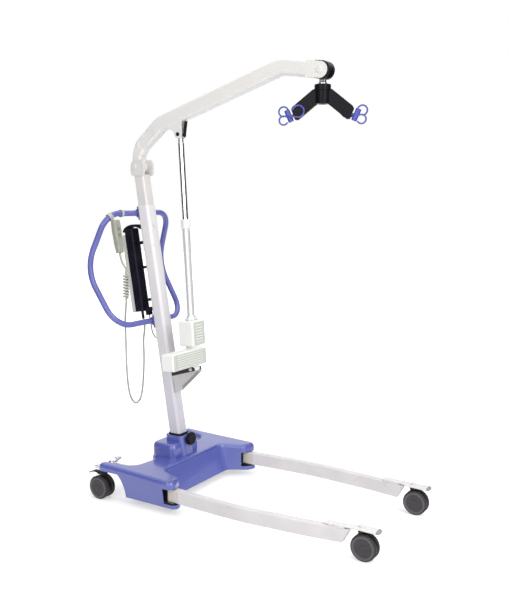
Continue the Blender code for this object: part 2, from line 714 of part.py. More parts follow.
def make_mast_head():
    """The casting on the mast: a stem inside the tube and two cheeks that hold the boom's knuckle."""
    deep = (MAST_SIZE[0] - 2 * MAST_WALL - 2 * GAP) / cos(MAST_LEAN)
    wide = MAST_SIZE[1] - 2 * MAST_WALL - 2 * GAP
    head = socket_shape("mast_head", 1.160, 1.372, deep, wide, 0.0087)
    head.data.materials[0] = LILAC_GREY
    profile = [(1.2080, 1.3650), (1.1710, 1.3650), (1.1625, 1.3710), (1.1600, 1.3850), (1.1610, 1.4080),
               (1.1650, 1.4300), (1.1700, 1.4350), (1.2200, 1.4350), (1.2300, 1.4270), (1.2360, 1.4080),
               (1.2370, 1.3900), (1.2340, 1.3730), (1.2280, 1.3650)]
    outline = [(back(d), z) for d, z in profile]
    for side in (-1, 1):
        join(head, plate("head_cheek", outline, 0.0090, side * 0.0300, LILAC_GREY), "MANIFOLD")
    place = Vector((back(BOOM_PIVOT_BACK), 0, BOOM_PIVOT_Z))
    cut(head, bar("head_bore", 0.0083, place - Vector((0, 0.05, 0)), place + Vector((0, 0.05, 0)), LILAC_GREY,
                  sides=24))
    return head


def round_pin(name, radius, centre, half_length, material, head=0.0, head_radius=0.0):
    """A pin across the lift, with a head at each end when it has a head radius."""
    if head_radius:
        profile = [(0, half_length + head), (head_radius * 0.8, half_length + head),
                   (head_radius, half_length + head * 0.7), (head_radius, half_length),
                   (radius, half_length), (radius, -half_length), (head_radius, -half_length),
                   (head_radius, -half_length - head * 0.7), (head_radius * 0.8, -half_length - head),
                   (0, -half_length - head)]
    else:
        profile = [(0, half_length), (radius, half_length), (radius, -half_length), (0, -half_length)]
    return turned(name, [profile], centre, (0, 1, 0), material, 16)


def make_actuator_bracket():
    """Two side plates and a back plate on the mast's front face, with the actuator's foot pin between."""
    outline = [(1.0400, 0.5650), (1.0100, 0.4250), (0.9120, 0.5180), (0.9030, 0.5280), (0.9080, 0.5470)]
    sheet = [(back(d), z) for d, z in outline]
    low = mast_point(0.424, MAST_SIZE[0] / 2 + 0.0020)
    high = mast_point(0.566, MAST_SIZE[0] / 2 + 0.0020)
    middle = (low + high) / 2
    bracket = box("actuator_bracket", (0.0034, 0.0500, (high - low).length), middle, LILAC_GREY,
                  lean=MAST_LEAN)
    for side in (-1, 1):
        cheek = plate("foot_cheek", sheet, 0.0030, side * 0.0235, LILAC_GREY)
        join(bracket, cheek)
    beyond = box("mast_side", (0.060, 0.10, 0.30), mast_point(0.495, MAST_SIZE[0] / 2 + GAP - 0.030),
                 LILAC_GREY, lean=MAST_LEAN)
    cut(bracket, beyond)
    pin = Vector((back(FOOT_PIN_BACK), 0, FOOT_PIN_Z))
    cut(bracket, bar("foot_bore", 0.0053, pin - Vector((0, 0.04, 0)), pin + Vector((0, 0.04, 0)), LILAC_GREY,
                     sides=20))
    return bracket


# Push handle and what hangs behind the mast
HANDLE_RADIUS = 0.0125
HANDLE_TOP = mast_point(1.204, -(0.029 + 0.0056 + HANDLE_RADIUS))
HANDLE_LOW = mast_point(0.732, -(0.029 + 0.0056 + HANDLE_RADIUS))


def handle_path():
    top = HANDLE_TOP
    low = HANDLE_LOW
    far = [(top.x, 0, top.z), (top.x, 0.045, top.z), (back(1.221), 0.207, 1.205), (back(1.313), 0.243, 0.969),
           (back(1.162), 0.229, 0.728), (low.x, 0.045, low.z), (low.x, 0.0, low.z)]
    half = rounded(far, [0, 0.06, 0.084, 0.179, 0.120, 0.10, 0], steps=5)
    near = [Vector((p.x, -p.y, p.z)) for p in reversed(half)]
    return half + near[1:-1]


def make_handle():
    return tube("push_handle", handle_path(), HANDLE_RADIUS, HANDLE_BLUE, cyclic=True, resolution=2)


def make_handle_bracket(name, place):
    """A plate on the mast's rear face with a saddle for the handle's tube and four bolt heads."""
    centre = mast_point(place.z, -(0.029 + GAP + 0.0025))
    sheet = box(name, (0.0050, 0.052, 0.058), centre, HANDLE_BLUE, lean=MAST_LEAN)
    saddle = box("saddle", (0.0160, 0.040, 0.036), mast_point(place.z, -(0.029 + 0.0110)), HANDLE_BLUE,
                 lean=MAST_LEAN)
    join(sheet, saddle)
    seat = bar("tube_seat", HANDLE_RADIUS + GAP, place - Vector((0, 0.045, 0)), place + Vector((0, 0.045, 0)),
               HANDLE_BLUE, sides=32)
    cut(sheet, seat)
    outward = Vector((-cos(MAST_LEAN), 0, -sin(MAST_LEAN)))
    for side in (-1, 1):
        for up in (-1, 1):
            spot = mast_point(place.z + 0.0235 * up, -(0.029 + 0.0040), side * 0.0190)
            join(sheet, bar("bracket_bolt", 0.0042, spot, spot + outward * 0.0040, HANDLE_BLUE, sides=10))
    return sheet


def behind_mast(z, depth, y=0.0):
    """A point this far behind the mast's middle line, square to it."""
    return mast_point(z, 0.0, y) + Vector((-cos(MAST_LEAN), 0, -sin(MAST_LEAN))) * depth


BOX_DEPTH = 0.1050
BATTERY_DEPTH = 0.1373
GLAND = behind_mast(0.7520, 0.1080)


def make_control_box():
    """The ribbed control box; its standoffs reach forward to the mast and its cord gland points down."""
    middle = behind_mast(0.968, BOX_DEPTH)
    body = box("control_box", (0.0440, 0.050, 0.372), middle, BATTERY_BLACK, edge=0.0055, lean=MAST_LEAN)
    for k in (-1, 0, 1):
        groove = middle + Vector((cos(MAST_LEAN), 0, sin(MAST_LEAN))) * 0.0105 * k
        for side in (-1, 1):
            place = Vector((groove.x, side * 0.0252, groove.z))
            cut(body, box("rib_groove", (0.0026, 0.0024, 0.300), place, BATTERY_BLACK, lean=MAST_LEAN))
    for z, radius in ((1.083, 0.0070), (0.975, 0.0060), (0.832, 0.0065)):
        start = behind_mast(z, 0.0950)
        end = behind_mast(z, 0.0293)
        join(body, bar("standoff", radius, start, end, BATTERY_BLACK, sides=12))
    join(body, bar("cord_gland", 0.0062, behind_mast(0.790, 0.1080), GLAND, BATTERY_BLACK, sides=12))
    stop_hole_centre = behind_mast(1.080, BOX_DEPTH)
    cut(body, bar("stop_hole", 0.0053, stop_hole_centre + Vector((0, 0.0140, 0)),
                  stop_hole_centre + Vector((0, 0.0300, 0)), BATTERY_BLACK, sides=20))
    return body


def make_emergency_button():
    """A mushroom button on the far side of the control box; it presses in 4 mm."""
    centre = behind_mast(1.080, BOX_DEPTH) + Vector((0, 0.0290, 0))
    profile = [(0, 0.0080), (0.0060, 0.0075), (0.0090, 0.0055), (0.0095, 0.0025), (0.0090, 0.0008),
               (0.0050, 0.0008), (0.0050, -0.0090), (0, -0.0090)]
    return turned("emergency_button", [profile], centre, (0, 1, 0), RED, 24)


def make_battery():
    """The battery pack behind the control box, with a finger recess at its top."""
    middle = behind_mast(0.955, BATTERY_DEPTH)
    pack = box("battery", (0.0200, 0.046, 0.346), middle, BOX_GREY, edge=0.004, lean=MAST_LEAN)
    grip = behind_mast(1.105, BATTERY_DEPTH + 0.0100)
    cut(pack, box("finger_recess", (0.008, 0.030, 0.012), grip, BOX_GREY, lean=MAST_LEAN))
    return pack


def make_battery_bracket():
    """The arched strap over the control box, from the mast's rear face."""
    line = [(1.1490, 0.0340, 0.0180, 0.044), (1.1570, 0.0550, 0.0130, 0.042), (1.1620, 0.0850, 0.0095, 0.044),
            (1.1590, 0.1080, 0.0095, 0.046), (1.1510, 0.1260, 0.0095, 0.046), (1.1400, 0.1370, 0.0080, 0.044)]
    points = [behind_mast(z, depth) for z, depth, tall, wide in line]
    rings = []
    for i, p in enumerate(points):
        before = points[max(i - 1, 0)]
        after = points[min(i + 1, len(points) - 1)]
        along = (after - before).normalized()
        up = Vector((along.z, 0, -along.x))
        outline = box_outline(line[i][3], line[i][2], 0.0028, 2)
        rings.append([p + Vector((0, q.x, 0)) + up * q.y for q in outline])
    strap = loft("battery_top_bracket", rings, BATTERY_BLACK)
    body = behind_mast(0.968, BOX_DEPTH)
    cut(strap, box("strap_seat", (0.0446, 0.060, 0.3726), body, BATTERY_BLACK, lean=MAST_LEAN))
    pack = behind_mast(0.955, BATTERY_DEPTH + 0.0100)
    cut(strap, box("pack_seat", (0.040, 0.060, 0.3490), pack, BATTERY_BLACK, lean=MAST_LEAN))
    return strap


def make_lower_connector():
    """The bracket between the mast and the control box's lower end, with the motor cable's socket below."""
    shelf = box("battery_lower_connector", (0.0522, 0.034, 0.0160), behind_mast(0.7920, 0.0563),
                BATTERY_BLACK, edge=0.0015, lean=MAST_LEAN)
    join(shelf, box("socket_block", (0.0200, 0.024, 0.0240), behind_mast(0.7770, 0.0700), BATTERY_BLACK,
                    lean=MAST_LEAN))
    return shelf


def make_handset():
    """The hand control: a tapered case with a sloping front and two buttons, hung in front of the handle."""
    top = Vector((back(1.1990), -0.180, 1.178))
    low = Vector((back(1.1720), -0.184, 1.040))
    along = (low - top).normalized()
    across = Vector((-along.z, 0, along.x)).normalized()
    rings = []
    for f, thick, wide in ((0, 0.018, 0.034), (0.02, 0.022, 0.038), (0.35, 0.024, 0.040),
                           (0.60, 0.024, 0.036), (0.97, 0.022, 0.032), (1.0, 0.018, 0.028)):
        centre = top.lerp(low, f)
        outline = box_outline(thick, wide, 0.005, 2)
        rings.append([centre + across * p.x + Vector((0, p.y, 0)) for p in outline])
    case = loft("handset", rings, BEIGE)
    return case, top, low, along, across


def make_buttons(case, top, low, across):
    """Two rocker-less push buttons in the handset's front; each presses in 2 mm."""
    made = []
    for name, f, colour in (("up_button", 0.28, BLACK), ("down_button", 0.46, BLACK)):
        face = top.lerp(low, f) + across * 0.0120
        hole = bar(name + "_hole", 0.0078, face - across * 0.0070, face + across * 0.0050, BEIGE, sides=24)
        cut(case, hole)
        profile = [(0, 0.0016), (0.0060, 0.0014), (0.0075, 0.0004), (0.0075, -0.0040), (0, -0.0040)]
        made.append(turned(name, [profile], face, across, colour, 24))
    return made


def make_clip(name, y, half_length, tongue):
    """A clip round the upper part of the handle's tube; with a tongue it carries the handset."""
    upper = [p for p in handle_path() if p.z > 1.1 and p.y < 0]
    before = max((p for p in upper if p.y < y), key=lambda p: p.y)
    after = min((p for p in upper if p.y >= y), key=lambda p: p.y)
    centre = before.lerp(after, (y - before.y) / (after.y - before.y))
    along = (after - before).normalized()
    clip = bar(name, 0.0165, centre - along * half_length, centre + along * half_length, BOX_GREY, sides=20)
    if tongue:
        join(clip, box("hook_tongue", (0.0045, 0.016, 0.034), centre + Vector((0.0145, 0, -0.010)), BOX_GREY))
    cut(clip, bar("clip_bore", HANDLE_RADIUS + 0.0020, centre - along * 0.03, centre + along * 0.03, BOX_GREY,
                  sides=20))
    return clip


# Cords
CORD_RADIUS = 0.0040
CURLS = 9
CURL_PITCH = 0.0122
CURL_RADIUS = 0.0100
RELIEF_END = Vector((back(1.1360), -0.190, 0.9620))
CURL_LOW = Vector((back(1.1372), -0.190, 0.8420))


def make_strain_relief(low, along):
    """The rubber sleeve between the handset and the cord's curls."""
    into_curls = (CURL_LOW - RELIEF_END).normalized()
    start = low + along * 0.0006
    middle = (start + RELIEF_END) / 2 + Vector((-0.004, 0, 0))
    path = rounded([start, start + along * 0.014, middle, RELIEF_END - into_curls * 0.014, RELIEF_END],
                   [0, 0.03, 0.03, 0.03, 0], steps=3)
    return tube("handset_strain_relief", path, 0.0055, BEIGE, resolution=2)


def curl_path():
    """The curled part of the handset's cord: a straight lead, the curls, and a straight end."""
    start = RELIEF_END + (CURL_LOW - RELIEF_END).normalized() * GAP
    along = (CURL_LOW - start).normalized()
    side = along.orthogonal().normalized()
    other = along.cross(side)
    total = (CURL_LOW - start).length
    steps = 8
    coil = CURLS * CURL_PITCH
    lead = (total - coil) / 2
    path = [start, start + along * lead * 0.5]
    for k in range(CURLS * steps + 1):
        f = k / (CURLS * steps)
        grow = min(1.0, f * CURLS / 0.75, (1 - f) * CURLS / 0.75)
        a = 2 * pi * k / steps
        radius = CURL_RADIUS * grow
        path.append(start + along * (lead + coil * f) + side * radius * cos(a) + other * radius * sin(a))
    path.append(CURL_LOW - along * lead * 0.5)
    path.append(CURL_LOW)
    return path


def least_gap(path, radius, apart=0.018):
    """The least gap in a wound tube between stretches that lie at least this far apart along it."""
    fine = []
    length = 0.0
    for a, b in zip(path, path[1:]):
        for k in range(4):
            fine.append((length + (b - a).length * k / 4, a.lerp(b, k / 4)))
        length += (b - a).length
    least = 1.0
    for i, (start, point) in enumerate(fine):
        for reach, other in fine[i + 1:]:
            if reach - start > apart:
                least = min(least, (point - other).length - 2 * radius)
    return least


PLAIN_POINTS = [
    (1.1570, -0.172, 0.800), (1.1790, -0.152, 0.752), (1.1820, -0.148, 0.690), (1.1950, -0.130, 0.524),
    (1.2120, -0.100, 0.427), (1.2130, -0.080, 0.381), (1.2080, -0.060, 0.361), (1.1990, -0.040, 0.377),
    (1.1980, -0.022, 0.435), (1.1990, -0.010, 0.548), (1.2060, -0.002, 0.637),
]


def smooth_path(points, steps=3):
    """A Catmull-Rom path through the points."""
    path = []
    for i in range(len(points) - 1):
        p0 = points[max(i - 1, 0)]
        p1 = points[i]
        p2 = points[i + 1]
        p3 = points[min(i + 2, len(points) - 1)]
        for k in range(steps):
            t = k / steps
            path.append(0.5 * (2 * p1 + (p2 - p0) * t + (2 * p0 - 5 * p1 + 4 * p2 - p3) * t * t
                               + (3 * p1 - p0 - 3 * p2 + p3) * t ** 3))
    path.append(points[-1])
    return path


def plain_path():
    """The plain part of the handset's cord: it hangs in a long loop and rises to the control box."""
    along = (CURL_LOW - RELIEF_END).normalized()
    start = CURL_LOW + along * GAP
    down = Vector((sin(MAST_LEAN), 0, -cos(MAST_LEAN)))
    end = GLAND + down * GAP
    points = [start + along * 0.006]
    points += [Vector((back(d), y, z)) for d, y, z in PLAIN_POINTS]
    points += [end + down * 0.040, end + down * 0.006]
    return [start] + smooth_path(points) + [end]


def make_cords():
    curls = tube("handset_cord_curl", curl_path(), CORD_RADIUS, BEIGE, resolution=1)
    plain = tube("handset_cord_plain", plain_path(), CORD_RADIUS, BEIGE, resolution=2)
    print("least gap of the curled cord to itself:", round(least_gap(curl_path(), CORD_RADIUS), 5))
    print("least gap of the plain cord to itself:", round(least_gap(plain_path(), CORD_RADIUS), 5))
    return curls, plain


def make_motor_cable():
    """The motor's cable: it leaves the lower connector and runs into the mast's rear face."""
    down = Vector((sin(MAST_LEAN), 0, -cos(MAST_LEAN)))
    start = behind_mast(0.7770, 0.0700) + down * 0.0123
    points = [start, start + down * 0.012, behind_mast(0.7150, 0.0690), behind_mast(0.6850, 0.0660),
              behind_mast(0.6660, 0.0550), behind_mast(0.6600, 0.0420), behind_mast(0.6600, 0.0293)]
    return tube("motor_cable", smooth_path(points, 3), 0.0030, CABLE, resolution=2)


# Actuator
FOOT = Vector((back(FOOT_PIN_BACK), 0, FOOT_PIN_Z))
LUG_PIN = Vector((back(LUG_PIN_BACK), 0, LUG_PIN_Z))
RAM = (LUG_PIN - FOOT).normalized()
RAM_TILT = atan2(-RAM.x, RAM.z)


def ram(along, forward=0.0, y=0.0):
    """A point on the actuator's own axis, this far up from the foot pin."""
    return FOOT + RAM * along + Vector((RAM.z, 0, -RAM.x)) * forward + Vector((0, y, 0))


def make_motor():
    housing = box("motor_housing", (0.065, 0.235, 0.072), ram(0.0535, 0.0075, -0.0725), HOUSING_WHITE,
                  edge=0.008, lean=RAM_TILT)
    lug = bar("foot_lug", 0.0150, FOOT - Vector((0, 0.0212, 0)), FOOT + Vector((0, 0.0212, 0)), HOUSING_WHITE,
              sides=28)
    web = box("foot_web", (0.0280, 0.0424, 0.026), ram(0.0140), HOUSING_WHITE, lean=RAM_TILT)
    join(housing, web)
    join(housing, lug)
    cut(housing, bar("foot_pin_bore", 0.0053, FOOT - Vector((0, 0.04, 0)), FOOT + Vector((0, 0.04, 0)),
                     HOUSING_WHITE, sides=20))
    for k in range(6):
        groove = box("motor_groove", (0.0030, 0.200, 0.0030), ram(0.027 + 0.010 * k, 0.0400, -0.0780),
                     HOUSING_WHITE, lean=RAM_TILT)
        cut(housing, groove)
    return housing


def make_gear_housing():
    block = box("gear_housing", (0.080, 0.090, 0.110), ram(0.155), HOUSING_WHITE, edge=0.010, lean=RAM_TILT)
    neck = bar("gear_neck", 0.0300, ram(0.0898), ram(0.1050), HOUSING_WHITE, sides=32)
    join(block, neck)
    for k in range(7):
        groove = box("gear_groove", (0.0040, 0.0520, 0.0045), ram(0.119 + 0.012 * k, 0.0400), HOUSING_WHITE,
                     lean=RAM_TILT)
        cut(block, groove)
    return block


def make_outer_tube():
    """The white tube: its flared foot stands on the gear housing, and it is bored for the rod."""
    profile = [(0, 0.2200), (0.0131, 0.2200), (0.0131, 0.6010), (0.0160, 0.6010), (0.0160, 0.2300),
               (0.0190, 0.2280), (0.0230, 0.2190), (0.0275, 0.2160), (0.0275, 0.2103), (0, 0.2103)]
    return turned("actuator_outer_tube", [profile], FOOT, RAM, HOUSING_WHITE, 24)


def make_collar():
    profile = [(0.0128, 0.6410), (0.0180, 0.6410), (0.0200, 0.6390), (0.0200, 0.6030), (0.0190, 0.6013),
               (0.0128, 0.6013), (0.0128, 0.6410)]
    return turned("rod_collar", [profile], FOOT, RAM, HOUSING_WHITE, 28)


def make_rod():
    profile = [(0, 0.9620), (0.0125, 0.9620), (0.0125, 0.5050), (0, 0.5050)]
    rod = turned("actuator_rod", [profile], FOOT, RAM, CHROME, 24)
    eye = bar("rod_eye", 0.0170, LUG_PIN - Vector((0, 0.0110, 0)), LUG_PIN + Vector((0, 0.0110, 0)), STEEL,
              sides=28)
    shank = bar("eye_shank", 0.0108, ram(0.9623), LUG_PIN, STEEL, sides=24)
    join(eye, shank)
    cut(eye, bar("eye_bore", 0.0066, LUG_PIN - Vector((0, 0.04, 0)), LUG_PIN + Vector((0, 0.04, 0)), STEEL,
                 sides=20))
    return rod, eye


# Boom
BOLT = Vector((back(BOLT_BACK), 0, BOLT_Z))
BOOM_LINE = [(1.2130, 1.4050, 0), (1.2130, 1.4520, 0.030), (1.1910, 1.4970, 0.050), (1.0850, 1.5830, 0.100),
             (0.4950, 1.7705, 0.120), (0.3450, 1.7490, 0)]
BOOM_HALVES = [(0, 0.0235), (0.045, 0.0235), (0.090, 0.0285), (0.190, BOOM_DEPTH / 2), (9, BOOM_DEPTH / 2)]


def boom_half(length):
    """Half the boom's depth at this length of its middle line: the neck is narrower than the tube."""
    for (l0, h0), (l1, h1) in zip(BOOM_HALVES, BOOM_HALVES[1:]):
        if length <= l1:
            return h0 + (h1 - h0) * (length - l0) / (l1 - l0)
    return BOOM_HALVES[-1][1]


def boom_path():
    points = [(back(d), 0, z) for d, z, r in BOOM_LINE]
    path = rounded(points, [r for d, z, r in BOOM_LINE], steps=5)
    full = [path[0]]
    for a, b in zip(path, path[1:]):
        pieces = max(1, int((b - a).length / 0.20))
        for k in range(1, pieces + 1):
            full.append(a.lerp(b, k / pieces))
    return full


def boom_hollow():
    """The inside of the boom's tube: it starts behind the neck and is open at the nose."""
    line = [(1.1400, 1.5384, 0), (1.0850, 1.5830, 0.100), (0.4950, 1.7705, 0.120), (0.3450, 1.7490, 0)]
    points = [(back(d), 0, z) for d, z, r in line]
    path = rounded(points, [r for d, z, r in line], steps=2)
    path[-1] = path[-1] + (path[-1] - path[-2]).normalized() * 0.020
    outline = box_outline(BOOM_DEPTH - 0.0072, BOOM_WIDTH - 0.0060, 0.008, 1)
    return loft("boom_hollow", path_rings(path, outline), WARM_WHITE)


def make_boom():
    path = boom_path()
    length = 0.0
    rings = []
    for i, point in enumerate(path):
        if i:
            length += (point - path[i - 1]).length
        outline = box_outline(2 * boom_half(length), BOOM_WIDTH, 0.012, 2)
        rings.append(path_rings([path[max(i - 1, 0)], point, path[min(i + 1, len(path) - 1)]], outline)[1])
    first = path_rings(path[:2], box_outline(2 * boom_half(0), BOOM_WIDTH, 0.012, 2))[0]
    last = path_rings(path[-2:], box_outline(BOOM_DEPTH, BOOM_WIDTH, 0.012, 2))[1]
    rings[0] = first
    rings[-1] = last
    boom = loft("boom", rings, WARM_WHITE, origin=path[0])
    half = Vector((0, BOOM_WIDTH / 2 - 0.0003, 0))
    join(boom, bar("knuckle", 0.0260, path[0] - half, path[0] + half, WARM_WHITE, sides=24))
    cut(boom, boom_hollow())

    along = (path[-1] - path[-2]).normalized()
    up = Vector((-along.z, 0, along.x))
    tip = path[-1]
    lug = [(0.9680, 1.6060), (1.0500, 1.5800), (1.0400, 1.5640), (1.0100, 1.5450)]
    lug_outline = [(back(d), z) for d, z in lug] + arc((LUG_PIN.x, LUG_PIN.z), 0.0180, 195, 345, 8)
    for side in (-1, 1):
        join(boom, plate("lug_cheek", lug_outline, 0.0060, side * 0.0155, WARM_WHITE))
        rear = tip - along * 0.030
        corner_top = rear + up * 0.0305
        corner_low = rear - up * 0.0305
        level = degrees(atan2(along.z, along.x))
        cheek_outline = [(corner_top.x, corner_top.z), (corner_low.x, corner_low.z)]
        cheek_outline += arc((BOLT.x, BOLT.z), 0.0305, level - 88, level + 88, 12)
        join(boom, plate("end_cheek", cheek_outline, 0.0058, side * (BOOM_WIDTH / 2 - 0.0032), WARM_WHITE))
    panel = [(1.1450, 1.5600), (1.1140, 1.5560), (1.1060, 1.5400), (1.1700, 1.4830), (1.1900, 1.4820),
             (1.2000, 1.5020)]
    panel_path = rounded([(back(d), 0, z) for d, z in panel], [0.008, 0.010, 0.008, 0.010, 0.008, 0.010],
                         steps=3, closed=True)
    for side in (-1, 1):
        recess = [(p.x, p.z) for p in panel_path]
        cut(boom, plate("side_panel", recess, 0.0024, side * BOOM_WIDTH / 2, WARM_WHITE))
    for centre, radius, name in ((path[0], 0.0083, "knuckle_bore"), (LUG_PIN, 0.0063, "lug_bore"),
                                 (BOLT, 0.0063, "bolt_bore")):
        cut(boom, bar(name, radius, centre - Vector((0, 0.05, 0)), centre + Vector((0, 0.05, 0)), WARM_WHITE,
                      sides=24))
    return boom


def make_end_cap():
    """The black nose of the boom: the boom's end cheeks lie in its sides and the hanger link in its slot."""
    path = boom_path()
    along = (path[-1] - path[-2]).normalized()
    up = Vector((-along.z, 0, along.x))
    tip = path[-1] + along * GAP
    level = degrees(atan2(along.z, along.x))
    middle = (BOLT.x + 0.0055, BOLT.z)
    outline = arc(middle, 0.0335, level - 86, level + 86, 18)
    for sign in (1, -1):
        corner = tip + up * 0.0315 * sign
        outline.append((corner.x, corner.z))
    cap = plate("boom_end_cap", outline, BOOM_WIDTH, 0.0, BLACK)
    half = Vector((0, 0.05, 0))
    cut(cap, bar("cap_bore", 0.0063, BOLT - half, BOLT + half, BLACK, sides=20))
    rear = tip - along * 0.030
    for side in (-1, 1):
        seat = [(rear + up * 0.0309).to_tuple()[0::2], (rear - up * 0.0309).to_tuple()[0::2]]
        seat += arc((BOLT.x, BOLT.z), 0.0309, level - 88, level + 88, 12)
        cut(cap, plate("cheek_seat", seat, 0.0140, side * (BOOM_WIDTH / 2 + 0.0007), BLACK))
    fan = []
    for angle, sign in ((-22, -1), (62, 1)):
        way = Vector((sin(radians(angle)), 0, -cos(radians(angle))))
        out = Vector((-way.z, 0, way.x)) * sign
        near = BOLT + out * 0.0140
        far_end = near + way * 0.0900
        fan.append([(near.x, near.z), (far_end.x, far_end.z)])
    slot = [fan[0][0], fan[0][1], (BOLT.x + 0.03, BOLT.z - 0.11), fan[1][1], fan[1][0]]
    cut(cap, plate("link_slot", slot, 0.0150, 0.0, BLACK))
    cut(cap, bar("link_pocket", 0.0150, BOLT - Vector((0, 0.0075, 0)), BOLT + Vector((0, 0.0075, 0)), BLACK,
                 sides=28))
    return cap


def make_lug_bolt(name, side):
    """A short bolt through one of the lug's cheeks; it ends flush inside, clear of the rod's eye."""
    profile = [(0, 0.0235), (0.0065, 0.0235), (0.0080, 0.0220), (0.0080, 0.0187), (0.0060, 0.0187),
               (0.0060, 0.0127), (0, 0.0127)]
    return turned(name, [profile], LUG_PIN, (0, side, 0), BLACK, 16)


# Hanger
HUB_TOP = 1.6915
BAR_YAW = radians(20.0)


def make_hanger_link():
    """The flat link on the boom's bolt, with the swivel pin and its washer below."""
    outline = arc((BOLT.x, BOLT.z), 0.0120, 0, 180, 10)
    outline += [(BOLT.x - 0.0120, 1.7000), (BOLT.x + 0.0120, 1.7000)]
    link = plate("hanger_link", outline, 0.0120, 0.0, STEEL)
    profile = [(0, 1.7010), (0.0120, 1.7010), (0.0160, 1.6985), (0.0160, 1.6918), (0.0080, 1.6918),
               (0.0080, 1.6380), (0.0140, 1.6380), (0.0140, 1.6340), (0, 1.6340)]
    pin = turned("swivel_pin", [profile], (BOLT.x, 0, 0), (0, 0, 1), STEEL, 24)
    join(link, pin)
    half = Vector((0, 0.03, 0))
    cut(link, bar("link_bore", 0.0064, BOLT - half, BOLT + half, STEEL, sides=24))
    return link


def on_bar(u, z, n=0.0):
    """A point of the spreader: u along its arms, n across them, z up."""
    return Vector((BOLT.x + u * cos(BAR_YAW) - n * sin(BAR_YAW), u * sin(BAR_YAW) + n * cos(BAR_YAW), z))


def turn_about_hub(obj):
    """Bakes an object's place and turns it with the spreader about the hub's upright line."""
    hub = Vector((BOLT.x, 0, 0))
    turn = Matrix.Translation(hub) @ Matrix.Rotation(BAR_YAW, 4, "Z") @ Matrix.Translation(-hub)
    obj.data.transform(turn @ obj.matrix_basis)
    obj.matrix_basis = Matrix.Identity(4)
    return obj


def make_spreader():
    """The hub, bored for the swivel pin and its washer, with a flat arm on each side."""
    profile = [(0.0083, HUB_TOP), (0.0295, HUB_TOP), (0.0310, HUB_TOP - 0.0015), (0.0310, HUB_TOP - 0.0215),
               (0.0295, HUB_TOP - 0.0230), (0.0280, HUB_TOP - 0.0240), (0.0270, 1.6240), (0.0250, 1.6200),
               (0.0145, 1.6200), (0.0145, 1.6383), (0.0083, 1.6383), (0.0083, HUB_TOP)]
    hub = turned("spreader", [profile], (BOLT.x, 0, 0), (0, 0, 1), BLACK, 28)
    arm_outline = [(0.0180, 1.6785), (0.0370, 1.6726), (0.1130, 1.6115), (0.1180, 1.6020), (0.1030, 1.5630),
                   (0.0920, 1.5620), (0.0290, 1.6130), (0.0180, 1.6212)]
    for side in (-1, 1):
        outline = [(BOLT.x + side * u, z) for u, z in arm_outline]
        arm = turn_about_hub(plate("spreader_arm", outline, 0.0220, 0.0, BLACK))
        join(hub, arm)
        cut(hub, bar("hook_bore", 0.0048, on_bar(side * 0.0900, 1.5795), on_bar(side * 0.1300, 1.5795), BLACK,
                     sides=16))
    return hub


def hook_path(side, centre, radius, start, n_start, n_loop):
    """One sling hook: a straight shank from the boss, then most of a circle."""
    c = Vector((side * centre[0], centre[1]))
    b = Vector((side * start[0], start[1]))
    away = b - c
    lean = atan2(away.y, away.x)
    offset = atan2(sqrt(away.length ** 2 - radius ** 2), radius)
    spin = -side
    path = [on_bar(b.x, b.y, n_start)]
    for k in range(13):
        a = lean + spin * (offset + radians(265) * k / 12)
        path.append(on_bar(c.x + radius * cos(a), c.y + radius * sin(a), n_loop))
    if n_start != n_loop:
        clear = path[0].lerp(path[1], 0.3)
        path.insert(1, clear + (on_bar(0, 0, n_loop) - on_bar(0, 0, n_start)) * 0.7)
    return path


def make_sling_hooks(name, side):
    """Three wire hooks on a boss at one end of the spreader."""
    boss = bar(name, 0.0105, on_bar(side * 0.1175, 1.5560), on_bar(side * 0.1365, 1.6000), HOOK_BLUE,
               sides=16)
    join(boss, bar("hook_stud", 0.0045, on_bar(side * 0.1000, 1.5795), on_bar(side * 0.1250, 1.5795),
                   HOOK_BLUE, sides=12))
    hooks = (((0.1490, 1.5950), 0.0182, (0.1290, 1.5830), 0.0055, 0.0055),
             ((0.1470, 1.5615), 0.0165, (0.1240, 1.5710), -0.0055, -0.0055),
             ((0.0890, 1.5935), 0.0215, (0.1260, 1.5760), side * 0.0080, side * 0.0175))
    for centre, radius, start, n_start, n_loop in hooks:
        path = hook_path(side, centre, radius, start, n_start, n_loop)
        join(boss, solid(tube("hook_wire", path, 0.0032, HOOK_BLUE, resolution=1)))
    return boss


# Spread pedal
def make_spread_pedal():
    """The chrome foot bar that spreads the legs: a cross bar with two pads on a shaft through the cover."""
    z = PEDAL_Z
    path = rounded([(back(1.2310), -0.278, z + 0.002), (back(1.2240), -0.258, z), (back(1.2220), PEDAL_Y, z),
                    (back(1.2240), -0.177, z), (back(1.2330), -0.158, z + 0.002)],
                   [0, 0.02, 0.05, 0.02, 0], steps=3)
    pedal = solid(tube("spread_pedal", path, 0.0060, CHROME, resolution=2))
    shaft = bar("pedal_shaft", 0.0070, (back(1.2320), PEDAL_Y, z), (back(0.9800), PEDAL_Y, z), CHROME,
                sides=16)
    join(pedal, shaft)
    boss = bar("pedal_boss", 0.0110, (back(1.2340), PEDAL_Y, z), (back(1.2150), PEDAL_Y, z), CHROME, sides=16)
    join(pedal, boss)
    outer = box("outer_pad", (0.026, 0.028, 0.012), (back(1.2330), -0.279, z + 0.0045), CHROME)
    soften(outer, 0.003, 2)
    inner = box("inner_pad", (0.022, 0.026, 0.012), (back(1.2350), -0.157, z + 0.0045), CHROME)
    soften(inner, 0.003, 2)
    join(pedal, outer)
    join(pedal, inner)
    return pedal


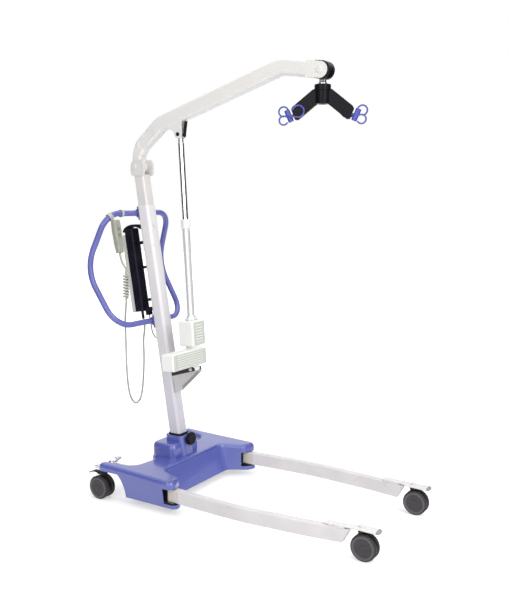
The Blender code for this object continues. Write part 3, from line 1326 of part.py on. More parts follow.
# Assembly
make_cover()
make_frame()
make_socket()
make_mast()
make_mast_head()
round_pin("boom_pivot_pin", 0.0080, (back(BOOM_PIVOT_BACK), 0, BOOM_PIVOT_Z), 0.0348, STEEL, 0.0040, 0.0120)
make_actuator_bracket()
round_pin("actuator_foot_pin", 0.0050, FOOT, 0.0253, STEEL, 0.0040, 0.0085)
make_handle()
make_handle_bracket("upper_handle_bracket", HANDLE_TOP)
make_handle_bracket("lower_handle_bracket", HANDLE_LOW)
make_control_box()
make_battery_bracket()
make_lower_connector()
make_clip("handset_hook", -0.182, 0.0080, True)
make_clip("cable_clip", -0.118, 0.0060, False)
HANDSET, HANDSET_TOP, HANDSET_LOW, HANDSET_ALONG, HANDSET_FRONT = make_handset()
BUTTONS = make_buttons(HANDSET, HANDSET_TOP, HANDSET_LOW, HANDSET_FRONT)
make_strain_relief(HANDSET_LOW, HANDSET_ALONG)
make_cords()
make_motor_cable()

hang(pivot("knob_pivot", (back(0.9585), 0, 0.223)), make_knob())
hang(pivot("pedal_pivot", (back(1.2220), PEDAL_Y, PEDAL_Z)), make_spread_pedal())
hang(pivot("battery_slide", behind_mast(0.955, BATTERY_DEPTH)), make_battery())
hang(pivot("stop_slide", behind_mast(1.080, BOX_DEPTH)), make_emergency_button())
for button in BUTTONS:
    hang(pivot(button.name + "_slide", button.location), button)

make_leg(-1, "right")
make_leg(1, "left")
rear_castor("right_rear", -1)
rear_castor("left_rear", 1)

BOOM_PIVOT = pivot("boom_pivot", (back(BOOM_PIVOT_BACK), 0, BOOM_PIVOT_Z))
hang(BOOM_PIVOT, make_boom(), make_end_cap(), make_lug_bolt("right_lug_bolt", -1),
     make_lug_bolt("left_lug_bolt", 1),
     round_pin("boom_end_bolt", 0.0060, BOLT, 0.0247, STEEL, 0.0045, 0.0100))
HANGER_PIVOT = pivot("hanger_pivot", BOLT, BOOM_PIVOT)
hang(HANGER_PIVOT, make_hanger_link())
SPREADER_PIVOT = pivot("spreader_pivot", (BOLT.x, 0, HUB_TOP), HANGER_PIVOT)
hang(SPREADER_PIVOT, make_spreader(), make_sling_hooks("rear_sling_hooks", -1),
     make_sling_hooks("front_sling_hooks", 1))

ACTUATOR_PIVOT = pivot("actuator_pivot", FOOT)
hang(ACTUATOR_PIVOT, make_motor(), make_gear_housing(), make_outer_tube(), make_collar())
ROD_SLIDE = pivot("rod_slide", ram(0.600), ACTUATOR_PIVOT)
hang(ROD_SLIDE, *make_rod())
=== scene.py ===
"""The patient lift, dressed for the camera over its CAD solids.

It is put together in the order of the real one: cords, base, castors, legs, mast, handle and hand
control, actuator, boom and hanger. Metres; +X is forward along the legs and +Z is up.
"""

from math import atan2, cos, pi, radians, sin, sqrt, tan

import bmesh
import bpy
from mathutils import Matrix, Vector


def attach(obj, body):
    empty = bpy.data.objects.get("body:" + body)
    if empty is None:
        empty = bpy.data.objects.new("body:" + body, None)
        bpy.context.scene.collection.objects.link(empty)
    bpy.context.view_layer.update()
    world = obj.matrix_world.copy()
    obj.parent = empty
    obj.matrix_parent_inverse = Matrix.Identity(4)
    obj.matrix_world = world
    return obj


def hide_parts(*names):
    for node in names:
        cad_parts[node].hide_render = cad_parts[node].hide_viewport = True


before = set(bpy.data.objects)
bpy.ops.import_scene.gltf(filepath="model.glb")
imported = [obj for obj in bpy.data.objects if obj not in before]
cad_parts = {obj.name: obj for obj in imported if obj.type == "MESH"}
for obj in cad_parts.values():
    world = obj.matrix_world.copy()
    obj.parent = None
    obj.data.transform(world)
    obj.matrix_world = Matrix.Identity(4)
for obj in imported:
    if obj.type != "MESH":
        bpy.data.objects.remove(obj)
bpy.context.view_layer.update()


# Camera, lamps and floor
# A white studio: a large soft lamp ahead of the lift and above it whitens what faces forward, a weaker
# one stands by the camera, and the floor is pale and keeps the shadow at the wheels. Two dark cards at the
# sides, seen only in reflections, draw dark edges on the chrome.
EVEN = (1.0, 1.0, 1.0)


class Wire:
    """An output in a node tree: a sum written with it adds the Math node that works it out."""

    def __init__(self, nodes, socket):
        self.nodes = nodes
        self.socket = socket

    def math(self, operation, first, second):
        return self.nodes.node("ShaderNodeMath", {"operation": operation}, {0: first, 1: second})

    def __add__(self, other):
        return self.math("ADD", self, other)

    def __radd__(self, other):
        return self.math("ADD", other, self)

    def __sub__(self, other):
        return self.math("SUBTRACT", self, other)

    def __mul__(self, other):
        return self.math("MULTIPLY", self, other)

    def __rmul__(self, other):
        return self.math("MULTIPLY", other, self)

    def between(self, low, high):
        """0 below low, 1 above high, and an even slope in between."""
        return self.nodes.node("ShaderNodeMapRange", {"clamp": True},
                               {"Value": self, "From Min": low, "From Max": high})


class Nodes:
    """Adds nodes to a tree; each socket takes a number, a colour or another node's output."""

    def __init__(self, owner):
        owner.use_nodes = True
        self.tree = owner.node_tree

    def node(self, kind, settings=None, sockets=None, output=0):
        made = self.tree.nodes.new(kind)
        for key, value in (settings or {}).items():
            setattr(made, key, value)
        for key, value in (sockets or {}).items():
            self.feed(made.inputs[key], value)
        return Wire(self, made.outputs[output])

    def feed(self, socket, value):
        if isinstance(value, Wire):
            self.tree.links.new(value.socket, socket)
        else:
            socket.default_value = value

    def rays(self, *kinds):
        """1 for rays of these kinds, else 0."""
        found = [self.node("ShaderNodeLightPath", output=f"Is {kind} Ray") for kind in kinds]
        either = found[0]
        for other in found[1:]:
            either = either.math("MAXIMUM", either, other)
        return either


class Finish(Nodes):
    """A procedural finish: its colour, gloss and relief come from nodes on the object's own coordinates."""

    def __init__(self, name, roughness, metallic=0.0, specular=0.5):
        self.material = bpy.data.materials.new(name)
        super().__init__(self.material)
        self.shader = self.tree.nodes["Principled BSDF"]
        self.set(Roughness=roughness, Metallic=metallic, Specular_IOR_Level=specular)
        self.spot = self.node("ShaderNodeTexCoord", output="Object")

    def set(self, **values):
        """Feeds sockets of the shader, such as Base_Color=..."""
        for key, value in values.items():
            self.feed(self.shader.inputs[key.replace("_", " ")], value)

    def noise(self, scale, detail=2.0, stretch=EVEN):
        spot = self.node("ShaderNodeMapping", None, {"Vector": self.spot, "Scale": stretch})
        return self.node("ShaderNodeTexNoise", None, {"Vector": spot, "Scale": scale, "Detail": detail})

    def along(self, axis):
        """The object's own X, Y or Z (0, 1 or 2) at each point."""
        return self.node("ShaderNodeSeparateXYZ", None, {"Vector": self.spot}, axis)

    def blend(self, first, second, factor):
        """A colour between two, as the factor goes from 0 to 1."""
        pair = [c if isinstance(c, Wire) else (*c, 1.0) for c in (first, second)]
        return self.node("ShaderNodeMix", {"data_type": "RGBA"}, {0: factor, 6: pair[0], 7: pair[1]}, 2)

    def cloudy(self, first, second, rough, more, scale, detail=4.0, low=0.35, high=0.7, stretch=EVEN,
               share=1.0):
        """Two tones in soft clouds, and the roughness with what the clouds add to it."""
        clouds = self.noise(scale, detail, stretch).between(low, high)
        self.colour = self.blend(first, second, clouds if share == 1.0 else clouds * share)
        self.rough = rough + more * clouds

    def worn(self, tint, share, more, scale, detail, low, high, stretch=EVEN):
        """Chips, scuffs or dust in another tint, with what they add to the roughness."""
        spots = self.noise(scale, detail, stretch).between(low, high)
        self.colour = self.blend(self.colour, tint, spots * share)
        self.rough = self.rough + more * spots

    def finished(self, scale, detail, height, strength=0.5):
        """Feeds the colour and roughness to the shader, with a fine relief over them."""
        bump = self.node("ShaderNodeBump", None, {"Height": self.noise(scale, detail), "Distance": height,
                                                  "Strength": strength})
        self.set(Base_Color=self.colour, Roughness=self.rough, Normal=bump)
        return self


def shade(colour, amount):
    return tuple(c * amount for c in colour)


def moulded(name, colour, roughness, grain=0.00006, tone=0.9, specular=0.5):
    """Injection-moulded plastic: a fine spark-eroded grain, cloudy tone and a few handling marks."""
    made = Finish(name, roughness, specular=specular)
    made.cloudy(colour, shade(colour, tone), roughness, 0.05, 7.0, 3.0)
    made.worn(shade(colour, 0.5 + tone / 2), 0.5, 0.1, 46.0, 6.0, 0.6, 0.72, (1.0, 1.0, 0.35))
    return made.finished(1300.0, 1.0, grain, 0.6)


bpy.ops.object.select_all(action="DESELECT")
bpy.ops.object.camera_add(location=(1.7288, -2.7228, 1.274), rotation=(radians(82.65), 0, radians(32.27)))
camera = bpy.context.object
camera.data.sensor_fit = "VERTICAL"
camera.data.sensor_height = 36.0
camera.data.lens = 47.88
camera.data.clip_start = 0.05
bpy.context.scene.camera = camera
bpy.context.scene.view_settings.view_transform = "Standard"

for lamp_name, place, target, size, power in (
        ("front_lamp", (3.4, -0.9, 2.6), (0.0, 0.0, 0.8), 2.4, 100.0),
        ("camera_lamp", (0.2, -3.6, 2.4), (0.0, 0.0, 0.8), 2.6, 48.0),
        ("top_lamp", (-0.6, 0.8, 4.0), (0.0, 0.0, 0.8), 3.0, 50.0)):
    bpy.ops.object.light_add(type="AREA", location=place)
    lamp = bpy.context.object
    lamp.name = lamp_name
    lamp.rotation_euler = (Vector(target) - Vector(place)).to_track_quat("-Z", "Y").to_euler()
    lamp.data.size = size
    lamp.data.energy = power

studio = bpy.data.worlds.new("studio")
bpy.context.scene.world = studio
air = Nodes(studio)
dim = air.tree.nodes["Background"]
dim.inputs["Color"].default_value = (0.96, 0.97, 1.0, 1.0)
dim.inputs["Strength"].default_value = 0.5
white = air.node("ShaderNodeBackground", None, {"Color": (1.0, 1.0, 1.0, 1.0)})
air.feed(air.tree.nodes["World Output"].inputs["Surface"], air.node("ShaderNodeMixShader", None, {
    0: air.rays("Camera", "Glossy", "Transmission"), 1: Wire(air, dim.outputs[0]), 2: white}))

bpy.ops.object.select_all(action="DESELECT")
bpy.ops.mesh.primitive_plane_add(size=24, location=(0, 0, -0.0006))
floor = bpy.context.object
floor.name = "floor"
floor_paint = Finish("floor_white", 0.9, specular=0.0)
floor_paint.set(Base_Color=(0.8, 0.8, 0.8, 1.0))
matt = Wire(floor_paint, floor_paint.shader.outputs[0])
far = floor_paint.node("ShaderNodeVectorMath", {"operation": "LENGTH"}, {0: floor_paint.spot}, "Value")
level = floor_paint.node("ShaderNodeMapRange", None, {"Value": far, "From Min": 1.0, "From Max": 3.0,
                                                      "To Min": 0.42, "To Max": 1.0})
glow = floor_paint.node("ShaderNodeEmission", None, {"Strength": level})
both = floor_paint.node("ShaderNodeAddShader", None, {0: matt, 1: glow})
floor_paint.feed(floor_paint.tree.nodes["Material Output"].inputs["Surface"],
                 floor_paint.node("ShaderNodeMixShader", None, {
                     0: floor_paint.rays("Camera", "Glossy"), 1: matt, 2: both}))
floor.data.materials.append(floor_paint.material)
card_black = Finish("card_black", 0.5, specular=0.0)
card_black.set(Base_Color=(0.1, 0.1, 0.1, 1.0))
camera_azimuth, lift_middle, card_distance = -54.4, -0.27, 2.2
for azimuth in (-95, 95):
    turn = radians(camera_azimuth + azimuth)
    bpy.ops.mesh.primitive_plane_add(size=1, location=(lift_middle + card_distance * cos(turn),
                                                       card_distance * sin(turn), 1.0))
    card = bpy.context.object
    card.name = "dark_card"
    card.scale = (6.3, 3.2, 1.0)
    card.rotation_euler = (pi / 2, 0, turn + pi / 2)
    card.visible_camera = card.visible_diffuse = card.visible_transmission = card.visible_shadow = False
    card.data.materials.append(card_black.material)


# Handset cord
# One cream PVC cord, 8 mm thick: nine curls below the hand control's rubber sleeve, then a long plain
# loop that hangs to knee height and rises into the gland under the control box.
FRONT_AXLES_X = 0.6248
MAST_FOOT_BACK, MAST_FOOT_Z = 1.0177, 0.243
MAST_LEAN = radians(9.16)


def back(distance):
    """World X of a point this far behind the front axles."""
    return FRONT_AXLES_X - distance


def mast_point(z, forward=0.0, y=0.0):
    """A point of the leaning mast's middle line at this height, or that far in front of it."""
    middle = back(MAST_FOOT_BACK) - (z - MAST_FOOT_Z) * tan(MAST_LEAN)
    return Vector((middle + forward / cos(MAST_LEAN), y, z))


def behind_mast(z, depth):
    """A point this far behind the mast's middle line, square to it."""
    return mast_point(z) + Vector((-cos(MAST_LEAN), 0, -sin(MAST_LEAN))) * depth


def smooth_path(points, steps):
    """A Catmull-Rom line through the points."""
    line = []
    for i in range(len(points) - 1):
        a, b = points[max(i - 1, 0)], points[i]
        c, d = points[i + 1], points[min(i + 2, len(points) - 1)]
        for k in range(steps):
            t = k / steps
            line.append(0.5 * (2 * b + (c - a) * t + (2 * a - 5 * b + 4 * c - d) * t * t
                               + (3 * b - a - 3 * c + d) * t ** 3))
    line.append(points[-1])
    return line


def only(piece):
    bpy.ops.object.select_all(action="DESELECT")
    piece.select_set(True)
    bpy.context.view_layer.objects.active = piece


def placed(piece, place, turn=(0, 0, 0)):
    """Turns a piece and moves it to its place, for good."""
    piece.rotation_euler = turn
    piece.location = place
    only(piece)
    bpy.ops.object.transform_apply(location=True, rotation=True, scale=True)
    return piece


def settle(piece, name, paint, body, *nodes, angle=35):
    """Smooths, names and paints a finished piece, and puts it on its body in place of its CAD nodes."""
    if angle:
        smooth(piece, angle)
    only(piece)
    bpy.ops.object.transform_apply(location=True, rotation=True, scale=True)
    piece.name = name
    piece.data.name = name
    piece.data.materials.clear()
    piece.data.materials.append(paint.material)
    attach(piece, body)
    if nodes:
        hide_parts(*nodes)
    return piece


def line_piece(points, radius, cyclic=False, resolution=5, radii=None):
    """A round wire, cord or tube on a curve through the points."""
    curve = bpy.data.curves.new("line", "CURVE")
    curve.dimensions = "3D"
    curve.bevel_depth = radius
    curve.bevel_resolution = resolution
    curve.use_fill_caps = not cyclic
    spline = curve.splines.new("POLY")
    spline.points.add(len(points) - 1)
    for i, (knot, point) in enumerate(zip(spline.points, points)):
        knot.co = (*point, 1.0)
        knot.radius = radii[i] if radii else 1.0
    spline.use_cyclic_u = cyclic
    spline.use_smooth = True
    piece = bpy.data.objects.new("line", curve)
    bpy.context.scene.collection.objects.link(piece)
    return piece


CORD_DIAMETER = 0.008
CURLS, CURL_STEPS = 9, 16
CURL_PITCH, CURL_RADIUS = 0.0122, 0.01
HANDSET_TOP = Vector((back(1.199), -0.18, 1.178))
HANDSET_LOW = Vector((back(1.172), -0.184, 1.04))
RELIEF_END = Vector((back(1.136), -0.19, 0.962))
CURL_LOW = Vector((back(1.1372), -0.19, 0.842))
GLAND = behind_mast(0.752, 0.108)
handset_along = (HANDSET_LOW - HANDSET_TOP).normalized()
curl_start = RELIEF_END + (CURL_LOW - RELIEF_END).normalized() * 0.0003
curl_along = (CURL_LOW - curl_start).normalized()
curl_side = curl_along.orthogonal().normalized()
curl_other = curl_along.cross(curl_side)
curl_coil = CURLS * CURL_PITCH
curl_lead = ((CURL_LOW - curl_start).length - curl_coil) / 2
cord_line = [curl_start, curl_start + curl_along * curl_lead * 0.5]
for k in range(CURLS * CURL_STEPS + 1):
    f = k / (CURLS * CURL_STEPS)
    grow = min(1.0, f * 12.0, (1 - f) * 12.0)
    a = 2 * pi * k / CURL_STEPS
    round_it = (curl_side * cos(a) + curl_other * sin(a)) * CURL_RADIUS * grow
    cord_line.append(curl_start + curl_along * (curl_lead + curl_coil * f) + round_it)
cord_line.append(CURL_LOW - curl_along * curl_lead * 0.5)
gland_down = Vector((sin(MAST_LEAN), 0, -cos(MAST_LEAN)))
gland_end = GLAND + gland_down * 0.0003
plain_points = [CURL_LOW, CURL_LOW + curl_along * 0.0063]
plain_points += [Vector((back(d), y, z)) for d, y, z in (
    (1.157, -0.172, 0.8), (1.179, -0.152, 0.752), (1.182, -0.148, 0.69), (1.195, -0.13, 0.524),
    (1.212, -0.1, 0.427), (1.213, -0.08, 0.381), (1.208, -0.06, 0.361), (1.199, -0.04, 0.377),
    (1.198, -0.022, 0.435), (1.199, -0.01, 0.548), (1.206, -0.002, 0.637))]
plain_points += [gland_end + gland_down * 0.04, gland_end + gland_down * 0.006, gland_end]
cord_line += smooth_path(plain_points, 5)
cord_length = sum((b - a).length for a, b in zip(cord_line, cord_line[1:]))

cord_pvc = Finish("cord_cream_pvc", 0.42)
cord_pvc.cloudy((0.44, 0.43, 0.38), (0.36, 0.35, 0.31), 0.38, 0.16, 60.0, 4.0, 0.42)
cord_pvc.finished(700.0, 1.0, 0.00004)
cord = settle(line_piece(cord_line, CORD_DIAMETER / 2, resolution=4), "handset_cord", cord_pvc,
              "base", "handset_cord_curl", "handset_cord_plain", angle=None)

relief_start = HANDSET_LOW + handset_along * 0.0006
relief_middle = (relief_start + RELIEF_END) / 2 + Vector((-0.004, 0, 0))
relief_line = smooth_path([relief_start, relief_start + handset_along * 0.014, relief_middle,
                           RELIEF_END - curl_along * 0.014, RELIEF_END], 11)
relief_radii = []
for k in range(len(relief_line)):
    f = k / (len(relief_line) - 1)
    rib = 0.9 if (k % 4 == 1 and 0.12 < f < 0.8) else 1.0
    relief_radii.append((1.0 - 0.22 * f) * rib)
sleeve = settle(line_piece(relief_line, 0.0055, resolution=5, radii=relief_radii), "handset_cord_sleeve",
                moulded("sleeve_cream_rubber", (0.42, 0.41, 0.36), 0.55), "base", "handset_strain_relief",
                angle=None)

CABLE_SOCKET = behind_mast(0.777, 0.07)
socket_down = CABLE_SOCKET + gland_down * 0.0123
cable_points = [socket_down, socket_down + gland_down * 0.012, behind_mast(0.715, 0.069),
                behind_mast(0.685, 0.066), behind_mast(0.666, 0.055), behind_mast(0.66, 0.042),
                behind_mast(0.66, 0.0293)]
settle(line_piece(smooth_path(cable_points, 6), 0.003, resolution=4), "motor_cable_run", cord_pvc,
       "base", "motor_cable", angle=None)


# Base cover
# A blue injection-moulded shell, 4 mm thick, over the steel frame: its two rear arms are cut away in an arc
# above the castors, its front is open where the legs swing, and a hump rises round the mast's foot.
def rounded(points, steps=6, closed=False):
    """An outline or path with each corner turned into an arc; a point is a place and its own radius."""
    line = []
    for i, (corner, radius) in enumerate(points):
        if radius == 0 or (not closed and i in (0, len(points) - 1)):
            line.append(corner.copy())
            continue
        before = points[i - 1][0] - corner
        after = points[(i + 1) % len(points)][0] - corner
        half = before.angle(after) / 2
        if half > 1.5:
            line.append(corner.copy())
            continue
        reach = min(radius / tan(half), 0.49 * before.length, 0.49 * after.length)
        before.normalize()
        after.normalize()
        centre = corner + (before + after).normalized() * reach / cos(half)
        start = corner + before * reach - centre
        end = corner + after * reach - centre
        swing = start.angle(end)
        for k in range(steps + 1):
            f = k / steps
            line.append(centre + (start * sin((1 - f) * swing) + end * sin(f * swing)) / sin(swing))
    return line


def pulled_in(ring, distance):
    """A closed outline, anticlockwise from above, moved inwards."""
    moved = []
    for i, point in enumerate(ring):
        first = Vector(((ring[i - 1] - point).y, (point - ring[i - 1]).x, 0)).normalized()
        out = ring[(i + 1) % len(ring)] - point
        second = Vector((-out.y, out.x, 0)).normalized()
        middle = (first + second).normalized()
        moved.append(point + middle * distance / max(0.5, middle.dot(first)))
    return moved


def round_outline(width, depth, radius, steps=6):
    """A rounded rectangle about the origin, anticlockwise from above."""
    w, d = width / 2, depth / 2
    corners = [(Vector((x, y, 0)), radius) for x, y in ((w, -d), (w, d), (-w, d), (-w, -d))]
    return rounded(corners, steps, closed=True)


def drawn_up(rings):
    """A closed skin: a disc is laid on the first ring and its face is extruded from ring to ring."""
    bpy.ops.object.select_all(action="DESELECT")
    bpy.ops.mesh.primitive_circle_add(vertices=len(rings[0]), radius=1, fill_type="NGON")
    piece = bpy.context.object
    for spot, point in zip(piece.data.vertices, rings[0]):
        spot.co = point
    bpy.ops.object.mode_set(mode="EDIT")
    bpy.ops.mesh.select_all(action="SELECT")
    for ring in rings[1:]:
        bpy.ops.mesh.extrude_region_move()
        shape = bmesh.from_edit_mesh(piece.data)
        shape.verts.ensure_lookup_table()
        fresh = sorted((v for v in shape.verts if v.select), key=lambda v: v.index)
        for spot, point in zip(fresh, ring):
            spot.co = point
        bmesh.update_edit_mesh(piece.data)
    bpy.ops.mesh.select_all(action="SELECT")
    bpy.ops.mesh.normals_make_consistent(inside=False)
    bpy.ops.object.mode_set(mode="OBJECT")
    return piece


def as_mesh(curve):
    only(curve)
    bpy.ops.object.convert(target="MESH")
    return bpy.context.object


def apply_all(piece):
    only(piece)
    for step in list(piece.modifiers):
        bpy.ops.object.modifier_apply(modifier=step.name)
    return piece


def cut(piece, *tools, operation="DIFFERENCE"):
    """Takes the tools' shapes out of the piece, or keeps only what they cover, and clears them away."""
    for tool in tools:
        step = piece.modifiers.new("cut", "BOOLEAN")
        step.operation = operation
        step.solver = "EXACT"
        step.object = tool
        apply_all(piece)
        bpy.data.objects.remove(tool, do_unlink=True)
    return piece


def add(piece, *tools):
    """Unites the tools' shapes with the piece."""
    return cut(piece, *tools, operation="UNION")


def soften(piece, width, segments=3, limit=30):
    """Rounds a piece's sharp edges."""
    bevel = piece.modifiers.new("round", "BEVEL")
    bevel.width = width
    bevel.segments = segments
    bevel.limit_method = "ANGLE"
    bevel.angle_limit = radians(limit)
    return apply_all(piece)


def smooth(piece, angle=35):
    only(piece)
    bpy.ops.object.shade_smooth_by_angle(angle=radians(angle))
    weigh = piece.modifiers.new("weigh", "WEIGHTED_NORMAL")
    weigh.keep_sharp = True
    return apply_all(piece)


def block(size, centre, edge=0.001, lean=0.0, segments=3):
    """A block with rounded edges, leant back like the mast."""
    bpy.ops.object.select_all(action="DESELECT")
    bpy.ops.mesh.primitive_cube_add(size=1)
    piece = bpy.context.object
    piece.scale = size
    bpy.ops.object.transform_apply(location=False, rotation=False, scale=True)
    if edge:
        bpy.ops.object.mode_set(mode="EDIT")
        bpy.ops.mesh.select_all(action="SELECT")
        bpy.ops.mesh.bevel(offset=edge, segments=segments, affect="EDGES")
        bpy.ops.object.mode_set(mode="OBJECT")
    return placed(piece, centre, (0, -lean, 0))


def turned(rings, place=(0, 0, 0), direction=(0, 0, 1), sides=48):
    """A lathe-turned piece drawn up from a disc; each ring is (radius, height) on its own axis."""
    bpy.ops.object.select_all(action="DESELECT")
    bpy.ops.mesh.primitive_circle_add(vertices=sides, radius=rings[0][0], fill_type="NGON",
                                      location=(0, 0, rings[0][1]))
    piece = bpy.context.object
    bpy.ops.object.transform_apply(location=True, rotation=True, scale=True)
    bpy.ops.object.mode_set(mode="EDIT")
    bpy.ops.mesh.select_all(action="SELECT")
    for (r0, h0), (r1, h1) in zip(rings, rings[1:]):
        bpy.ops.mesh.extrude_region_move(TRANSFORM_OT_translate={"value": (0, 0, h1 - h0)})
        if r1 != r0:
            bpy.ops.transform.resize(value=(r1 / r0, r1 / r0, 1), center_override=(0, 0, h1))
    bpy.ops.mesh.select_all(action="SELECT")
    bpy.ops.mesh.normals_make_consistent(inside=False)
    bpy.ops.object.mode_set(mode="OBJECT")
    piece.rotation_mode = "QUATERNION"
    piece.rotation_quaternion = Vector(direction).to_track_quat("Z", "Y")
    piece.location = place
    bpy.ops.object.transform_apply(location=True, rotation=True, scale=True)
    piece.rotation_mode = "XYZ"
    return piece


def bar(radius, start, end, sides=32):
    start, end = Vector(start), Vector(end)
    return turned([(radius, 0), (radius, (end - start).length)], start, end - start, sides)


def both_ends(half):
    """A bolt's rings from head to head, from those of one half, its end first."""
    return [(r, -h) for r, h in half] + [(r, h) for r, h in reversed(half)]


def crossbar(radius, centre, half=0.05, sides=32):
    """A bar across the lift, centred there."""
    across = Vector((0, half, 0))
    return bar(radius, centre - across, centre + across, sides)


def together(first, *others):
    """Joins finished shapes into one object."""
    bpy.ops.object.select_all(action="DESELECT")
    for piece in (first, *others):
        piece.select_set(True)
    bpy.context.view_layer.objects.active = first
    bpy.ops.object.join()
    return first


def half_and_mirror(corners):
    """A closed outline from its far half, listed from the front to the rear as (back, Y, radius)."""
    half = rounded([(Vector((back(d), y, 0)), r) for d, y, r in corners])
    return half + [Vector((p.x, -p.y, 0)) for p in reversed(half)][1:-1]


def at_height(ring, height):
    return [Vector((p.x, p.y, height(p.x) if callable(height) else height)) for p in ring]


def cover_slope(x):
    return 0.15 + (back(0.995) - x) * 0.03


cover_low = half_and_mirror([
    (0.895, 0.0, 0), (0.895, 0.205, 0.04), (0.81, 0.25, 0.055), (0.79, 0.307, 0.03), (1.085, 0.305, 0),
    (1.203, 0.314, 0.017), (1.203, 0.278, 0.017), (1.09, 0.246, 0), (1.062, 0.225, 0.04),
    (1.05, 0.11, 0.02), (1.102, 0.085, 0.03), (1.102, 0.0, 0)])
cover_high = half_and_mirror([
    (0.93, 0.0, 0), (0.93, 0.205, 0.045), (0.83, 0.235, 0.05), (0.795, 0.322, 0.035), (1.085, 0.316, 0),
    (1.206, 0.318, 0.0215), (1.206, 0.274, 0.0215), (1.09, 0.25, 0), (1.064, 0.229, 0.04),
    (1.052, 0.11, 0.02), (1.102, 0.085, 0.03), (1.102, 0.0, 0)])
cover_rings = [at_height(pulled_in(cover_low, 0.0015), 0.03), at_height(cover_low, 0.0318),
               at_height(cover_high, 0.129)]
for k in range(1, 8):
    a = pi / 2 * k / 7
    drop = 0.0175 * (1 - sin(a))
    cover_rings.append(at_height(pulled_in(cover_high, 0.019 * (1 - cos(a))),
                                 lambda x, drop=drop: cover_slope(x) - drop))
cover = drawn_up(cover_rings)


def hump(half_depth, half_width, low, high, shoulder):
    """The upright box of the hump with its rounded shoulders."""
    outline = [p + Vector((back(1.0335), 0, 0)) for p in round_outline(2 * half_depth, 2 * half_width, 0.03)]
    rings = [at_height(outline, low)]
    for k in range(8):
        a = pi / 2 * k / 7
        rings.append(at_height(pulled_in(outline, shoulder * (1 - cos(a))),
                               high - 1.35 * shoulder * (1 - sin(a))))
    return drawn_up(rings)


add(cover, hump(0.0635, 0.095, 0.14, 0.209, 0.017))
cut(cover, drawn_up([at_height(pulled_in(cover_low, 0.004), 0.02),
                     at_height(pulled_in(cover_high, 0.004), 0.128),
                     at_height(pulled_in(cover_high, 0.009), 0.143)]))
cut(cover, hump(0.0595, 0.091, 0.13, 0.205, 0.015))
add(cover, bar(0.0034, (back(0.9345), -0.18, 0.1466), (back(0.9345), 0.172, 0.1466), 24))


def leaning_bar(depth, width, radius, heights, steps=8):
    """A rounded bar that follows the mast's lean; heights are (z, how far its outline grows there)."""
    outline = round_outline(depth, width, radius, steps)
    return drawn_up([[Vector((mast_point(z).x + p.x, p.y, z)) for p in pulled_in(outline, -grow)]
                     for z, grow in heights])


cut(cover, leaning_bar(0.0975, 0.0806, 0.0203, [(0.105, 0.0), (0.24, 0.0)]))
arch = bar(0.14, (back(1.2), -0.4, 0.03), (back(1.2), 0.4, 0.03), sides=96)
cut(arch, block((0.4, 1.0, 0.3), (back(1.2), 0, -0.0251), edge=0), operation="INTERSECT")
cut(cover, arch)
for side in (-1, 1):
    cut(cover, block((0.14, 0.12, 0.065), (back(0.787), side * 0.295, 0.0795), edge=0.004))
cut(cover, bar(0.0095, (back(1.075), -0.21, 0.122), (back(1.02), -0.21, 0.122)))
only(cover)
bpy.ops.object.mode_set(mode="EDIT")
bpy.ops.mesh.select_all(action="SELECT")
bpy.ops.mesh.remove_doubles(threshold=0.00002)
bpy.ops.mesh.dissolve_limited(angle_limit=radians(0.3))
bpy.ops.object.mode_set(mode="OBJECT")
smooth(cover, 38)

cover_blue = Finish("cover_blue_moulding", 0.34)
cover_blue.cloudy((0.104, 0.126, 0.435), (0.092, 0.112, 0.4), 0.3, 0.06, 5.0, 3.0)
cover_blue.worn((0.118, 0.14, 0.405), 0.6, 0.14, 34.0, 7.0, 0.58, 0.74, (1.0, 1.0, 0.4))
cover_blue.finished(900.0, 1.0, 0.00006)
cover_blue.set(Coat_Weight=0.85, Coat_Roughness=0.1)
settle(cover, "base_cover", cover_blue, "base", "chassis_cover", angle=None)
SIDES = ((-1, "right"), (1, "left"))
# A thin black sheet across the bottom of each leg opening, under the leg, is painted shade: it stands in for
# the shade in the opening and hides the floor there.
opening_shade_black = moulded("opening_painted_shade_black", (0.01, 0.01, 0.013), 0.5, 0.0001, 0.7, 0.15)
for side, name in SIDES:
    shade_sheet = block((0.13, 0.11, 0.0034), (back(0.79), side * 0.292, 0.049), 0.0008)
    cut(shade_sheet, drawn_up(cover_rings), operation="INTERSECT")
    settle(shade_sheet, name + "_leg_opening_shade_sheet", opening_shade_black, "base")


# Steel frame in the cover
# Zinc-plated cross tube with pivot plates, leg pins and castor arms; little of it shows, in the arches and
# at the leg openings, so the CAD solid stays and gets its plating.
zinc = Finish("zinc_plated_steel", 0.34, 1.0)
zinc.cloudy((0.6, 0.6, 0.6), (0.44, 0.44, 0.46), 0.28, 0.2, 90.0, 3.0, 0.3, 0.75)
zinc.finished(500.0, 2.0, 0.00004)
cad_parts["chassis_frame"].data.materials.clear()
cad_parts["chassis_frame"].data.materials.append(zinc.material)


# Mast socket, ring and knob
# The mast stands in a blue sleeve with a thick rim; a black rubber ring closes the joint, and a scalloped
# black knob in front locks the mast, which lifts out for transport.
MAST_HOLE = (0.0593, 0.0606, 0.0123)
socket_steps = [(0.1105, 0.0), (0.23, 0.0), (0.2325, -0.0006), (0.2342, -0.002), (0.235, -0.004)]
socket = leaning_bar(0.097, 0.08, 0.02, socket_steps, 10)
cut(socket, leaning_bar(*MAST_HOLE, [(0.1165, 0.0), (0.26, 0.0)]))
settle(socket, "mast_sleeve", cover_blue, "base", "mast_socket", angle=38)
black_rubber = moulded("ring_black_rubber", (0.01, 0.01, 0.014), 0.45, 0.0001, 0.7, 0.15)
ring_steps = [(0.2353, -0.0008), (0.236, 0.0), (0.242, 0.0), (0.243, -0.0006), (0.2435, -0.0018)]
ring = leaning_bar(0.0685, 0.07, 0.017, ring_steps, 10)
cut(ring, leaning_bar(*MAST_HOLE, [(0.23, 0.0), (0.25, 0.0)]))
settle(ring, "mast_ring", black_rubber, "base", "socket_ring", angle=38)
